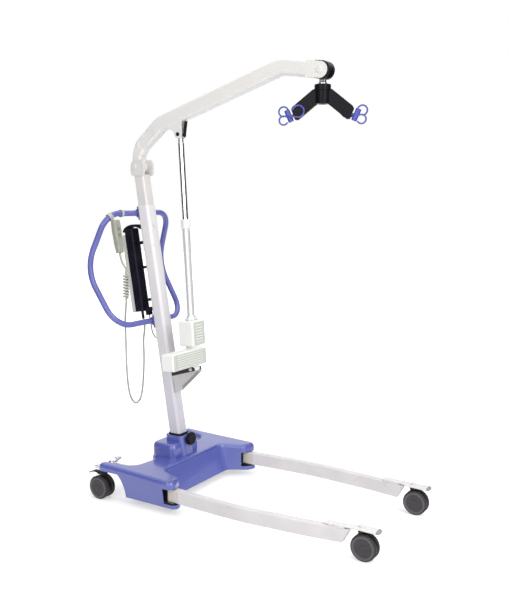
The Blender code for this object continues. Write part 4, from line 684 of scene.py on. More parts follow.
knob = turned([(0.0058, -0.025), (0.0058, -0.0004), (0.0085, 0.0), (0.0225, 0.0006), (0.0245, 0.002),
               (0.0258, 0.005), (0.026, 0.008), (0.026, 0.014), (0.0252, 0.0175), (0.0235, 0.02),
               (0.0205, 0.0217), (0.016, 0.0217), (0.0145, 0.021), (0.006, 0.021)],
              sides=72)
for spot in knob.data.vertices:
    reach = sqrt(spot.co.x ** 2 + spot.co.y ** 2)
    if reach > 0.015:
        turn = atan2(spot.co.y, spot.co.x)
        bite = 1 - 0.16 * max(0.0, cos(6 * turn)) ** 2 * (reach - 0.015) / 0.011
        spot.co.x *= bite
        spot.co.y *= bite
knob.scale = (1.1, 1.1, 1.0)
knob.rotation_euler = (0, pi / 2, 0)
knob.location = (back(0.9585), 0, 0.223)
knob_black = moulded("knob_black_plastic", (0.006, 0.006, 0.009), 0.36, specular=0.15)
settle(knob, "locking_knob", knob_black, "knob", "mast_knob", angle=40)


# Castors
# Twin-wheel swivel castors: grey nylon discs with a raised rim and a rubber tread on each side of a black
# plastic body, whose steel stem turns in the leg's end plate or in the frame's rear arm.
def reach_marked(piece):
    """Keeps each point's distance from the piece's own axis, for its finish to read."""
    marks = piece.data.attributes.new("reach", "FLOAT", "POINT")
    for mark, spot in zip(marks.data, piece.data.vertices):
        mark.value = sqrt(spot.co.x ** 2 + spot.co.y ** 2)
    return piece


wheel_paint = Finish("castor_wheel_grey", 0.5, specular=0.3)
wheel_reach = wheel_paint.node("ShaderNodeAttribute", {"attribute_name": "reach"}, output=2)
rim = wheel_reach.between(0.034, 0.0358) - wheel_reach.between(0.042, 0.0435)
tread = wheel_reach.between(0.0455, 0.0465)
scuffs = wheel_paint.noise(120.0, 5.0).between(0.45, 0.75)
wheel_tone = wheel_paint.blend((0.05, 0.045, 0.049), (0.072, 0.067, 0.07), scuffs * 0.6)
wheel_tone = wheel_paint.blend(wheel_tone, (0.11, 0.105, 0.108), rim)
wheel_tone = wheel_paint.blend(wheel_tone, (0.03, 0.028, 0.03), tread)
wheel_paint.colour, wheel_paint.rough = wheel_tone, 0.42 + 0.14 * scuffs + 0.14 * tread
wheel_paint.finished(800.0, 2.0, 0.00006, 0.6)
castor_black = moulded("castor_black_plastic", (0.009, 0.009, 0.011), 0.36, 0.00008, 0.75, 0.18)


def one_wheel(width, place, way):
    """A wheel from its inner face out: hub, dished disc, raised rim, shoulder and tread."""
    rings = [(0.0042, 0.0), (0.044, 0.0), (0.0478, 0.0006), (0.0493, 0.0022), (0.05, 0.0048)]
    rings += [(radius, width - inset) for radius, inset in (
        (0.05, 0.007), (0.0495, 0.0052), (0.0482, 0.0038), (0.0462, 0.0028), (0.0435, 0.0012),
        (0.0418, 0.0005), (0.039, 0.0003), (0.0364, 0.0005), (0.0352, 0.0014), (0.0345, 0.0026),
        (0.02, 0.0034), (0.0128, 0.0034), (0.0118, 0.0014), (0.0105, 0.0008), (0.003, 0.0006))]
    piece = reach_marked(turned(rings, sides=96))
    return placed(piece, place, (-way * pi / 2, 0, 0))


def castor(name, back_axle, y, width, space, trail, head_top):
    """The wheel pair on its axle, and the body with its neck, head and stem."""
    axle = Vector((back(back_axle), y, 0.05))
    stem = Vector((back(back_axle + trail), y, 0))
    pair = [one_wheel(width, axle + Vector((0, way * space / 2, 0)), way) for way in (-1, 1)]
    shaft = reach_marked(turned([(0.004, -space / 2 - 0.002), (0.004, space / 2 + 0.002)], sides=24))
    placed(shaft, axle, (pi / 2, 0, 0))
    settle(together(pair[0], pair[1], shaft), name + "_wheel_pair", wheel_paint,
           name + "_wheel", name + "_wheels", angle=28)
    web = space / 2 - 0.001
    disc = turned([(0.006, -web), (0.043, -web), (0.0462, -web + 0.0006), (0.047, -web + 0.002),
                   (0.047, web - 0.002), (0.0462, web - 0.0006), (0.043, web), (0.006, web)],
                  axle, (0, 1, 0), 96)
    cut(disc, crossbar(0.0043, axle, 0.02))
    neck = block((0.026, 2 * web, 0.03), (stem.x, y, 0.0895), 0.002)
    head = turned([(0.011, 0.1), (0.0142, 0.1008), (0.015, 0.102), (0.015, head_top - 0.0016),
                   (0.0142, head_top - 0.0004), (0.012, head_top), (0.0052, head_top),
                   (0.005, head_top + 0.012), (0.0044, head_top + 0.0125)], stem)
    add(disc, neck, head)
    return disc


FRONT_CASTOR_Y, REAR_CASTOR_Y = 0.247, 0.296
BRAKE_HINGE_BACK, BRAKE_HINGE_Z = 1.209, 0.1065
for side, name in SIDES:
    body = castor(name + "_front", 0.0, side * FRONT_CASTOR_Y, width=0.017, space=0.011, trail=0.012,
                  head_top=0.112)
    settle(body, name + "_front_castor_body", castor_black, name + "_front_castor", name + "_front_fork")
    body = castor(name + "_rear", 1.2, side * REAR_CASTOR_Y, width=0.022, space=0.016, trail=-0.012,
                  head_top=0.1244)
    hinge = Vector((back(BRAKE_HINGE_BACK), side * REAR_CASTOR_Y, BRAKE_HINGE_Z))
    add(body, block((0.024, 0.008, 0.008), hinge + Vector((0.008, 0, -0.0002)), 0))
    add(body, crossbar(0.004, hinge, 0.004), crossbar(0.002, hinge, 0.0096))
    settle(body, name + "_rear_castor_body", castor_black, name + "_rear_castor", name + "_rear_fork")


def standing_plate(outline, y, thickness, edge=0.0):
    """A plate that stands along X and Z, from its outline; edge rounds its rims."""
    plate = drawn_up([[Vector((p.x, y + way * thickness / 2, p.z)) for p in outline] for way in (-1, 1)])
    return soften(plate, edge, 3, 40) if edge else plate


def side_line(points, steps=6, closed=False):
    """An upright line or outline with rounded corners, from points (distance back, z, radius)."""
    return rounded([(Vector((back(d), 0, z)), radius) for d, z, radius in points], steps, closed)


# Brake pedals
# A black nylon lever on each rear castor's lug, broad and slightly arched, with ribs for the shoe; it
# presses a shoe on the wheels.
pedal_top = [(-0.0035, 0.0034), (-0.01, 0.0058), (-0.02, 0.0068), (-0.032, 0.0062), (-0.043, 0.003),
             (-0.052, -0.0016), (-0.056, -0.003)]
pedal_under = [(-0.0555, -0.0062), (-0.05, -0.0052), (-0.042, -0.001), (-0.032, 0.002),
               (-0.02, 0.0026), (-0.011, 0.0014), (-0.007, -0.001), (-0.0055, -0.0035),
               (0.001, -0.004), (0.0035, 0.0)]
for side, name in SIDES:
    hinge = Vector((back(BRAKE_HINGE_BACK), side * REAR_CASTOR_Y, BRAKE_HINGE_Z))
    outline = [hinge + Vector((x, 0, z)) for x, z in pedal_top + pedal_under]
    pedal = standing_plate(outline, hinge.y, 0.024, 0.001)
    cut(pedal, block((0.016, 0.0088, 0.02), hinge + Vector((0.002, 0, 0)), 0))
    for k in range(5):
        rib = hinge + Vector((-0.023 - 0.006 * k, 0, 0.0066 - 0.0016 * k ** 1.3))
        pedal = together(pedal, crossbar(0.0009, rib, 0.009, 12))
    settle(pedal, name + "_brake_lever", castor_black, name + "_brake", name + "_rear_brake_pedal")


# Legs
# Bowed rectangular steel tubes, lilac-grey powder coated, on cream cast roots that turn on the frame's pins;
# an off-white plate with a rubber bumper is welded over each front castor.
LEG_LOW, LEG_HIGH = 0.053, 0.108
LEG_PIN_BACK, LEG_PIN_Y, PIN_BORE = 0.93, 0.275, 0.0083


def leg_ring(low_back, high_back, y, half, low, high, radius=0.005, steps=5):
    """A rounded section of the leg; its lower and upper edges lie at their own distances back."""
    ring = []
    for p in round_outline(2 * half, high - low, radius, steps):
        f = (p.y + (high - low) / 2) / (high - low)
        ring.append(Vector((back(low_back + (high_back - low_back) * f), y + p.x, low + (high - low) * f)))
    return ring


leg_line = [(0.797, 0.28), (0.745, 0.285), (0.65, 0.29), (0.565, 0.293), (0.455, 0.293),
            (0.355, 0.285), (0.225, 0.275), (0.135, 0.263), (0.065, 0.2555)]
leg_stations = smooth_path([Vector((d, y, 0)) for d, y in leg_line], 5)
leg_paint = Finish("leg_lilac_powder_coat", 0.36)
leg_paint.cloudy((0.74, 0.71, 0.705), (0.68, 0.65, 0.65), 0.32, 0.06, 9.0)
leg_paint.worn((0.44, 0.425, 0.44), 0.5, 0.16, 70.0, 8.0, 0.66, 0.74, (0.4, 1.0, 1.0))
leg_paint.finished(420.0, 2.0, 0.00008)
cream_and_shade_paint = Finish("root_cream_casting_with_painted_shade", 0.46)
cream_and_shade_paint.cloudy((0.7, 0.655, 0.59), (0.63, 0.59, 0.53), 0.44, 0.08, 20.0)
# The root's end inside the cover's opening is painted near-black: painted shade in the opening.
cream_and_shade_paint.colour = cream_and_shade_paint.blend((0.012, 0.012, 0.016), cream_and_shade_paint.colour,
                                       cream_and_shade_paint.along(0).between(back(0.849), back(0.8465)))
cream_and_shade_paint.finished(700.0, 1.0, 0.00012, 0.6)
end_paint = Finish("end_plate_white", 0.36)
end_paint.cloudy((0.78, 0.76, 0.745), (0.69, 0.67, 0.66), 0.32, 0.12, 50.0, 5.0, 0.45, 0.75)
bumper = end_paint.along(0).between(0.672, 0.6728)
end_paint.colour = end_paint.blend(end_paint.colour, (0.3, 0.295, 0.3), bumper)
end_paint.rough = end_paint.rough + 0.2 * bumper
end_paint.finished(420.0, 2.0, 0.00008)
root_stations = [
    (0.848, 0.2782, 0.0132, 0.0018), (0.8474, 0.2782, 0.0144, 0.0006), (0.8462, 0.2782, 0.015, 0.0),
    (0.7985, 0.28, 0.015, 0.0), (0.7978, 0.28, 0.0147, 0.0003), (0.7973, 0.28, 0.014, 0.001)]
END_PLATE_Z = 0.11575
end_stations = [
    (0.145, 0.2625, 0.0125, 0.0057), (0.144, 0.2625, 0.014, 0.0065), (0.07, 0.257, 0.0145, 0.0065),
    (0.052, 0.2527, 0.0172, 0.0065), (0.035, 0.249, 0.02, 0.0065), (0.018, 0.2477, 0.0218, 0.0065),
    (0.0, 0.247, 0.0225, 0.0065), (-0.03, 0.247, 0.0215, 0.0085), (-0.042, 0.247, 0.0197, 0.0105),
    (-0.05, 0.247, 0.0176, 0.0113), (-0.056, 0.247, 0.0142, 0.0111), (-0.059, 0.247, 0.0112, 0.0099),
    (-0.06, 0.247, 0.0085, 0.0083)]
for side, name in SIDES:
    rings = []
    for station in leg_stations[:-1]:
        rings.append(leg_ring(station.x, station.x, side * station.y, 0.015, LEG_LOW, LEG_HIGH))
    rings.append(leg_ring(0.082, 0.053, side * 0.2555, 0.015, LEG_LOW, LEG_HIGH))
    rings = [ring for ring, station in zip(rings, leg_stations) if station.x > 0.09 or station.x < 0.07]
    rings.insert(0, leg_ring(0.797, 0.797, side * 0.28, 0.0142, 0.0538, 0.1072, 0.0042))
    rings[1] = leg_ring(0.796, 0.796, side * 0.2801, 0.015, LEG_LOW, LEG_HIGH)
    settle(drawn_up(rings), name + "_leg_bowed_tube", leg_paint, name + "_leg", name + "_leg_tube")

    root = drawn_up([leg_ring(d, d, side * y, half, LEG_LOW + t, LEG_HIGH - t, 0.005 - t / 2)
                     for d, y, half, t in root_stations])
    neck = drawn_up([leg_ring(d, d, side * y, 0.011, LEG_LOW, LEG_HIGH, 0.003)
                     for d, y in ((LEG_PIN_BACK, LEG_PIN_Y), (0.843, 0.2765))])
    pin_place = Vector((back(LEG_PIN_BACK), side * LEG_PIN_Y, 0))
    eye = turned([(0.0168, 0.053), (0.018, 0.0542), (0.018, 0.1068), (0.0168, 0.108)], pin_place, sides=64)
    add(root, neck, eye)
    cut(root, bar(PIN_BORE, pin_place + Vector((0, 0, 0.04)), pin_place + Vector((0, 0, 0.12))))
    settle(root, name + "_leg_cast_root", cream_and_shade_paint, name + "_leg", name + "_leg_root")

    end = drawn_up([leg_ring(d, d, side * y, half, END_PLATE_Z - thick / 2, END_PLATE_Z + thick / 2,
                             0.0028, 4) for d, y, half, thick in end_stations])
    add(end, block((0.066, 0.026, 0.006), (back(0.105), side * 0.26, 0.111), 0.0008))
    stem = Vector((back(0.012), side * FRONT_CASTOR_Y, 0))
    cap = turned([(0.0095, 0.115), (0.0095, 0.1268), (0.0088, 0.1283), (0.0072, 0.129), (0.003, 0.129)], stem)
    add(end, cap)
    cut(end, bar(0.0053, stem + Vector((0, 0, 0.105)), stem + Vector((0, 0, 0.125))))
    settle(end, name + "_leg_end_plate", end_paint, name + "_leg", name + "_leg_end")


# Spread pedal
# A chromed steel bar bent to a shallow bow, with a foot pad at each end, on a shaft that reaches through
# the cover to the lug on the cross tube; pressing an end spreads or closes the legs.
chrome = Finish("polished_chrome", 0.1, 1.0)
chrome.cloudy((0.8, 0.8, 0.82), (0.66, 0.66, 0.69), 0.07, 0.12, 28.0, 5.0, 0.4, 0.75)
chrome.finished(240.0, 2.0, 0.00002, 0.4)
SHAFT_Y, SHAFT_Z = -0.21, 0.122
bow_points = [(1.231, -0.278, 0.124, 0), (1.224, -0.258, SHAFT_Z, 0.02), (1.222, SHAFT_Y, SHAFT_Z, 0.05),
              (1.224, -0.177, SHAFT_Z, 0.02), (1.233, -0.158, 0.124, 0)]
pedal_bow = rounded([(Vector((back(d), y, z)), radius) for d, y, z, radius in bow_points], 8)
bow = together(as_mesh(line_piece(pedal_bow, 0.006, resolution=6)),
               bar(0.007, (back(1.232), SHAFT_Y, SHAFT_Z), (back(0.98), SHAFT_Y, SHAFT_Z), 48),
               turned([(0.0098, 0.0), (0.011, 0.0012), (0.011, 0.0178), (0.0098, 0.019)],
                      (back(1.234), SHAFT_Y, SHAFT_Z), (1, 0, 0)),
               block((0.026, 0.028, 0.012), (back(1.233), -0.279, 0.1265), 0.0036, segments=5),
               block((0.022, 0.026, 0.012), (back(1.235), -0.157, 0.1265), 0.0036, segments=5))
settle(bow, "spread_pedal_bar", chrome, "pedal_bar", "spread_pedal")


# Mast
# A rectangular steel tube, 60 by 58 mm, lilac-grey powder coated, with well rounded corners and hardly any
# marks; its foot stands in the blue sleeve and it leans back over the rear castors.
mast_paint = Finish("mast_lilac_coat_with_painted_light", 0.3)
# The coat is painted darker and more lilac towards the foot and lighter towards the top: painted shade and
# light along the mast.
mast_paint.cloudy(mast_paint.blend((0.6, 0.575, 0.64), (0.83, 0.805, 0.8),
                                   mast_paint.along(2).between(0.25, 0.95)),
                  (0.72, 0.7, 0.71), 0.26, 0.06, 6.0, share=0.3)
mast_paint.worn((0.47, 0.45, 0.49), 0.5, 0.16, 60.0, 8.0, 0.67, 0.74, (1.0, 1.0, 0.3))
mast_paint.finished(420.0, 2.0, 0.00006)
mast_steps = [(0.117, -0.0008), (0.1178, 0.0), (1.239, 0.0), (1.2397, -0.0003), (1.24, -0.001)]
mast = leaning_bar(0.05875, 0.06, 0.012, mast_steps, 10)
cut(mast, leaning_bar(0.05275, 0.054, 0.009, [(0.1, 0.0), (1.26, 0.0)]))
settle(mast, "mast_tube", mast_paint, "base", "mast")


# Mast head
# A light grey casting on the mast: a stem pushed into the tube and two cheeks with soft edges that hold the
# boom's knuckle on a steel pin; each cheek has a raised round boss for the pin.
head_paint = moulded("head_grey_casting", (0.76, 0.735, 0.715), 0.34, 0.00012, 0.93)
head_stem = leaning_bar(0.0522, 0.0534, 0.0087, [(1.16, -0.001), (1.161, 0.0), (1.371, 0.0),
                                                 (1.372, -0.001)])
cheek = [(1.208, 1.365), (1.171, 1.365), (1.1625, 1.371), (1.16, 1.385), (1.161, 1.408),
         (1.165, 1.43), (1.17, 1.435), (1.22, 1.435), (1.23, 1.427), (1.236, 1.408),
         (1.237, 1.39), (1.234, 1.373), (1.228, 1.365)]
for way in (-1, 1):
    outline = side_line([(d, z, 0.006) for d, z in cheek], 4, closed=True)
    add(head_stem, standing_plate(outline, way * 0.03, 0.009, 0.0018))
pivot_place = Vector((back(1.213), 0, 1.405))
cut(head_stem, crossbar(PIN_BORE, pivot_place, sides=48))
settle(head_stem, "mast_head_casting", head_paint, "base", "mast_head")
pin = turned(both_ends([(0.006, 0.0388), (0.0098, 0.0386), (0.0116, 0.0376), (0.012, 0.0362), (0.012, 0.0348),
                        (0.008, 0.0347)]), pivot_place, (0, 1, 0))
settle(pin, "boom_pivot_bolt", head_paint, "base", "boom_pivot_pin", angle=30)


# Actuator bracket
# Folded 3 mm steel, lilac-grey like the mast, welded to the mast's front: two three-cornered cheeks carry the
# actuator's foot pin. Their upper part under the motor is painted near-black as painted shadow of the motor.
sheet = [(1.04, 0.565), (1.01, 0.425), (0.912, 0.518), (0.903, 0.528), (0.908, 0.547)]
foot, FOOT_BORE = Vector((back(0.927), 0, 0.54)), 0.0053
bracket_paint = Finish("bracket_lilac_coat_with_painted_shadow", 0.34)
bracket_paint.cloudy((0.61, 0.585, 0.57), (0.53, 0.505, 0.495), 0.3, 0.12, 24.0, 5.0)
# Above a slanting line under the motor the cheeks are painted near-black: painted shadow of the motor.
painted_motor_shadow = (bracket_paint.along(2) - 0.3 * bracket_paint.along(0)).between(0.618, 0.6195)
bracket_paint.colour = bracket_paint.blend(bracket_paint.colour, (0.012, 0.012, 0.014), painted_motor_shadow)
bracket_paint.finished(420.0, 2.0, 0.00006)
low, high = mast_point(0.424, 0.031), mast_point(0.566, 0.031)
bracket = block((0.0034, 0.05, (high - low).length), (low + high) / 2, 0, MAST_LEAN)
for way in (-1, 1):
    outline = side_line([(d, z, 0.004 if d < 1.0 else 0.0) for d, z in sheet], 4, closed=True)
    add(bracket, standing_plate(outline, way * 0.0235, 0.003, 0.0005))
cut(bracket, block((0.06, 0.1, 0.3), mast_point(0.495, -0.0007), 0, MAST_LEAN), crossbar(FOOT_BORE, foot))
settle(bracket, "actuator_foot_bracket", bracket_paint, "base", "actuator_bracket")
pin = turned(both_ends([(0.004, 0.0293), (0.0068, 0.0292), (0.0082, 0.0284), (0.0085, 0.0268),
                        (0.0085, 0.0253), (0.005, 0.0252)]), foot, (0, 1, 0))
settle(pin, "actuator_foot_bolt", zinc, "base", "actuator_foot_pin", angle=30)


# Push handle
# One steel tube, 25 mm across, bent to a closed loop and powder coated violet blue; two blue plates with
# saddles hold it on the mast's rear face with four screws each.
handle_paint = Finish("handle_violet_powder_coat", 0.3)
handle_paint.cloudy((0.14, 0.148, 0.455), (0.112, 0.118, 0.385), 0.27, 0.05, 12.0)
handle_paint.worn((0.22, 0.22, 0.47), 0.5, 0.16, 90.0, 7.0, 0.64, 0.74)
handle_paint.finished(420.0, 2.0, 0.00006)
HANDLE_RADIUS, SADDLE_RADIUS = 0.0125, 0.0128
handle_top, handle_low = mast_point(1.204, -0.0471), mast_point(0.732, -0.0471)
corners = [((handle_top.x, 0.0, handle_top.z), 0), ((handle_top.x, 0.045, handle_top.z), 0.06),
           ((back(1.221), 0.207, 1.205), 0.084), ((back(1.313), 0.243, 0.969), 0.179),
           ((back(1.162), 0.229, 0.728), 0.12), ((handle_low.x, 0.045, handle_low.z), 0.1),
           ((handle_low.x, 0.0, handle_low.z), 0)]
half = rounded([(Vector(c), r) for c, r in corners], 14)
handle_line = half + [Vector((q.x, -q.y, q.z)) for q in reversed(half)][1:-1]
settle(line_piece(handle_line, HANDLE_RADIUS, cyclic=True, resolution=8), "push_handle_loop",
       handle_paint, "base", "push_handle", angle=None)
outward = Vector((-cos(MAST_LEAN), 0, -sin(MAST_LEAN)))
screw_rings = [(0.004, 0.0), (0.0042, 0.0022), (0.0038, 0.0034), (0.0026, 0.004), (0.0014, 0.004)]
for name, place in (("upper", handle_top), ("lower", handle_low)):
    plate = block((0.005, 0.052, 0.058), mast_point(place.z, -0.0318), 0.0008, MAST_LEAN)
    add(plate, block((0.016, 0.04, 0.036), mast_point(place.z, -0.04), 0.0012, MAST_LEAN))
    cut(plate, crossbar(SADDLE_RADIUS, place, sides=48))
    for side in (-1, 1):
        for up in (-1, 1):
            spot = mast_point(place.z + 0.0235 * up, -0.033, side * 0.019)
            plate = together(plate, turned(screw_rings, spot, outward, 24))
    settle(plate, name + "_handle_plate", handle_paint, "base", name + "_handle_bracket")


# Control box and battery
# The black ribbed control box stands off the mast on three black posts under an arched strap; the pale grey
# battery pack hangs on its rear, and the cord's gland and the motor cable's socket are at its foot.
box_black = Finish("control_box_black", 0.34, specular=0.2)
box_black.cloudy((0.008, 0.007, 0.016), (0.012, 0.011, 0.022), 0.3, 0.08, 14.0)
box_black.worn((0.026, 0.025, 0.034), 0.35, 0.14, 90.0, 6.0, 0.55, 0.75)
box_black.finished(900.0, 1.0, 0.00008, 0.6)
middle = behind_mast(0.968, 0.105)
case = block((0.044, 0.05, 0.372), middle, 0.0055, MAST_LEAN, 6)
for k in (-1, 0, 1):
    spot = middle - outward * 0.0105 * k
    for side in (-1, 1):
        cut(case, block((0.0026, 0.0024, 0.3), (spot.x, side * 0.0252, spot.z), 0, MAST_LEAN))
for z, radius in ((1.083, 0.007), (0.975, 0.006), (0.832, 0.0065)):
    add(case, bar(radius, behind_mast(z, 0.095), behind_mast(z, 0.0293)))
gland_top = behind_mast(0.79, 0.108)
gland_piece = turned([(0.0062, 0.0), (0.0062, 0.018), (0.0054, 0.019), (0.0054, 0.02), (0.0062, 0.021),
                      (0.0062, 0.038), (0.0056, 0.0387), (0.003, 0.0387)],
                     gland_top + gland_down * -0.0003, GLAND - gland_top, 32)
add(case, gland_piece)
stop = behind_mast(1.08, 0.105)
cut(case, bar(0.0053, stop + Vector((0, 0.014, 0)), stop + Vector((0, 0.03, 0))))
settle(case, "control_box_case", box_black, "base", "control_box")

battery_grey = moulded("battery_pale_grey", (0.64, 0.635, 0.59), 0.44, 0.0001, 0.93)
pack = block((0.02, 0.046, 0.346), behind_mast(0.955, 0.1373), 0.004, MAST_LEAN, 5)
cut(pack, block((0.008, 0.03, 0.012), behind_mast(1.105, 0.1473), 0.0012, MAST_LEAN))
for z in (0.85, 1.02):
    cut(pack, block((0.0006, 0.047, 0.0008), behind_mast(z, 0.1472), 0, MAST_LEAN))
settle(pack, "battery_pack_case", battery_grey, "battery_pack", "battery")

strap_line = [(1.149, 0.034, 0.018, 0.044), (1.157, 0.055, 0.013, 0.042), (1.162, 0.085, 0.0095, 0.044),
              (1.159, 0.108, 0.0095, 0.046), (1.151, 0.126, 0.0095, 0.046), (1.14, 0.137, 0.008, 0.044)]
knots = smooth_path([Vector((depth, 0, z)) for z, depth, tall, wide in strap_line], 4)
sizes = smooth_path([Vector((tall, wide, 0)) for z, depth, tall, wide in strap_line], 4)
rings = []
for i, (knot, size) in enumerate(zip(knots, sizes)):
    before, after = knots[max(i - 1, 0)], knots[min(i + 1, len(knots) - 1)]
    run = (behind_mast(after.z, after.x) - behind_mast(before.z, before.x)).normalized()
    rise = Vector((run.z, 0, -run.x))
    rings.append([behind_mast(knot.z, knot.x) + Vector((0, q.x, 0)) + rise * q.y
                  for q in round_outline(size.y, size.x, 0.0028, 4)])
strap = drawn_up(rings)
cut(strap, block((0.0446, 0.06, 0.3726), middle, 0, MAST_LEAN))
cut(strap, block((0.04, 0.06, 0.349), behind_mast(0.955, 0.1473), 0, MAST_LEAN))
settle(strap, "control_box_strap", box_black, "base", "battery_top_bracket", angle=40)

shelf = block((0.0522, 0.034, 0.016), behind_mast(0.792, 0.0563), 0.0015, MAST_LEAN)
add(shelf, block((0.02, 0.024, 0.024), CABLE_SOCKET, 0.0012, MAST_LEAN))
settle(shelf, "control_box_shelf", box_black, "base", "battery_lower_connector")

stop_red = moulded("stop_red_plastic", (0.45, 0.03, 0.03), 0.3, 0.00004, 0.9)
button = turned([(0.005, -0.009), (0.005, 0.0008), (0.0088, 0.0009), (0.0095, 0.0022), (0.0094, 0.004),
                 (0.0086, 0.0058), (0.0068, 0.0072), (0.004, 0.0079), (0.0015, 0.008)],
                stop + Vector((0, 0.029, 0)), (0, 1, 0))
settle(button, "stop_button", stop_red, "stop_key", "emergency_button", angle=40)


# Handset and its clips
# The hand control is a tapered case of greenish beige plastic with two round keys in its front; it hangs in
# front of the handle's tube on a grey hook clip, and a second clip holds the cord.
handset_beige = Finish("handset_beige_plastic", 0.46)
handset_beige.cloudy((0.37, 0.37, 0.31), (0.315, 0.315, 0.262), 0.42, 0.12, 20.0)
handset_beige.colour = handset_beige.blend(handset_beige.colour, (0.33, 0.33, 0.27),
                                           handset_beige.along(1).between(-0.172, -0.168))
handset_beige.finished(1100.0, 1.0, 0.00008, 0.6)
hand_across = Vector((-handset_along.z, 0, handset_along.x)).normalized()
handset_steps = [(0, 0.016, 0.032), (0.006, 0.0195, 0.0355), (0.02, 0.0218, 0.0378), (0.2, 0.0235, 0.0395),
                 (0.35, 0.024, 0.04), (0.48, 0.024, 0.0385), (0.6, 0.024, 0.036), (0.8, 0.0232, 0.0338),
                 (0.97, 0.0218, 0.0318), (0.992, 0.0196, 0.0296), (1.0, 0.016, 0.026)]
rings = []
for f, thick, wide in handset_steps:
    centre = HANDSET_TOP.lerp(HANDSET_LOW, f)
    rings.append([centre + hand_across * q.x + Vector((0, q.y, 0))
                  for q in round_outline(thick, wide, 0.005)])
handset = drawn_up(rings)
keys = []
for name, f in (("up", 0.28), ("down", 0.46)):
    face = HANDSET_TOP.lerp(HANDSET_LOW, f) + hand_across * 0.012
    cut(handset, bar(0.0078, face - hand_across * 0.007, face + hand_across * 0.005, 48))
    key = turned([(0.0075, -0.004), (0.0075, 0.0004), (0.007, 0.001), (0.0056, 0.0013), (0.0036, 0.0012),
                  (0.0015, 0.0011)], face, hand_across, 48)
    keys.append(key)
settle(handset, "handset_case", handset_beige, "base", "handset", angle=40)
key_grey = moulded("key_dark_green_grey", (0.23, 0.233, 0.19), 0.48, 0.00006, 0.9)
settle(keys[0], "handset_up_key", key_grey, "up_key", "up_button", angle=40)
settle(keys[1], "handset_down_key", key_grey, "down_key", "down_button", angle=40)

clip_grey = moulded("clip_grey_plastic", (0.5, 0.5, 0.45), 0.5, 0.00008, 0.9)
upper = [q for q in handle_line if q.z > 1.1 and q.y < 0]
for name, node, y, half_length, tongue in (("handset_clip", "handset_hook", -0.182, 0.008, True),
                                           ("cord_clip", "cable_clip", -0.118, 0.006, False)):
    before = max((q for q in upper if q.y < y), key=lambda q: q.y)
    after = min((q for q in upper if q.y >= y), key=lambda q: q.y)
    centre = before.lerp(after, (y - before.y) / (after.y - before.y))
    run = (after - before).normalized()
    clip = turned([(0.0155, -half_length), (0.0165, -half_length + 0.001), (0.0165, half_length - 0.001),
                   (0.0155, half_length)], centre, run, 64)
    if tongue:
        add(clip, block((0.0045, 0.016, 0.034), centre + Vector((0.0145, 0, -0.01)), 0.001))
    cut(clip, bar(0.0137, centre - run * 0.03, centre + run * 0.03, 64))
    settle(clip, name, clip_grey, "base", node)


# Actuator
# A linear drive: an off-white motor housing lies across the lift, the gear housing stands on it, and a satin
# aluminium tube with a white collar guides the chromed rod. Ribs are cut across the fronts, and the fronts
# are painted a darker copy of the housing white as painted shade.
LUG_PIN = Vector((back(0.986), 0, 1.535))
RAM = (LUG_PIN - foot).normalized()
RAM_TILT = atan2(-RAM.x, RAM.z)


def ram(along, forward=0.0, y=0.0):
    """A point on the actuator's own axis, this far up from the foot pin."""
    return foot + RAM * along + Vector((RAM.z, 0, -RAM.x)) * forward + Vector((0, y, 0))


housing_white = Finish("actuator_white_plastic_with_painted_shade", 0.4)
housing_white.cloudy((0.9, 0.905, 0.865), (0.855, 0.86, 0.82), 0.36, 0.1, 12.0)
# Everything in front of a plane near the housings' fronts is painted a darker grey-green copy of the white:
# painted shade on the fronts.
front_shade_back, front_shade_front = [p.x + tan(RAM_TILT) * p.z for p in (ram(0.1, 0.0385), ram(0.1, 0.039))]
painted_front_shade = (housing_white.along(0) + tan(RAM_TILT) * housing_white.along(2)).between(front_shade_back, front_shade_front)
housing_white.colour = housing_white.blend(housing_white.colour, (0.59, 0.61, 0.55), painted_front_shade)
housing_white.finished(1100.0, 1.0, 0.00008, 0.6)
motor = block((0.065, 0.235, 0.072), ram(0.0535, 0.0075, -0.0725), 0.008, RAM_TILT, 6)
add(motor, block((0.028, 0.0424, 0.026), ram(0.014), 0, RAM_TILT), crossbar(0.015, foot, 0.0212, 64))
cut(motor, crossbar(FOOT_BORE, foot))
for k in range(6):
    cut(motor, block((0.003, 0.2, 0.003), ram(0.027 + 0.01 * k, 0.04, -0.078), 0, RAM_TILT))
cut(motor, block((0.07, 0.0012, 0.076), ram(0.0535, 0.0075, -0.165), 0, RAM_TILT))
seam = block((0.0634, 0.003, 0.0704), ram(0.0535, 0.0075, -0.165), 0.006, RAM_TILT, 4)
motor = together(motor, seam)
settle(motor, "motor_case", housing_white, "actuator", "motor_housing")
gear = block((0.08, 0.09, 0.11), ram(0.155), 0.01, RAM_TILT, 8)
add(gear, bar(0.03, ram(0.0898), ram(0.105), 64))
for k in range(7):
    cut(gear, block((0.004, 0.052, 0.0045), ram(0.119 + 0.012 * k, 0.04), 0, RAM_TILT))
settle(gear, "gear_case", housing_white, "actuator", "gear_housing")

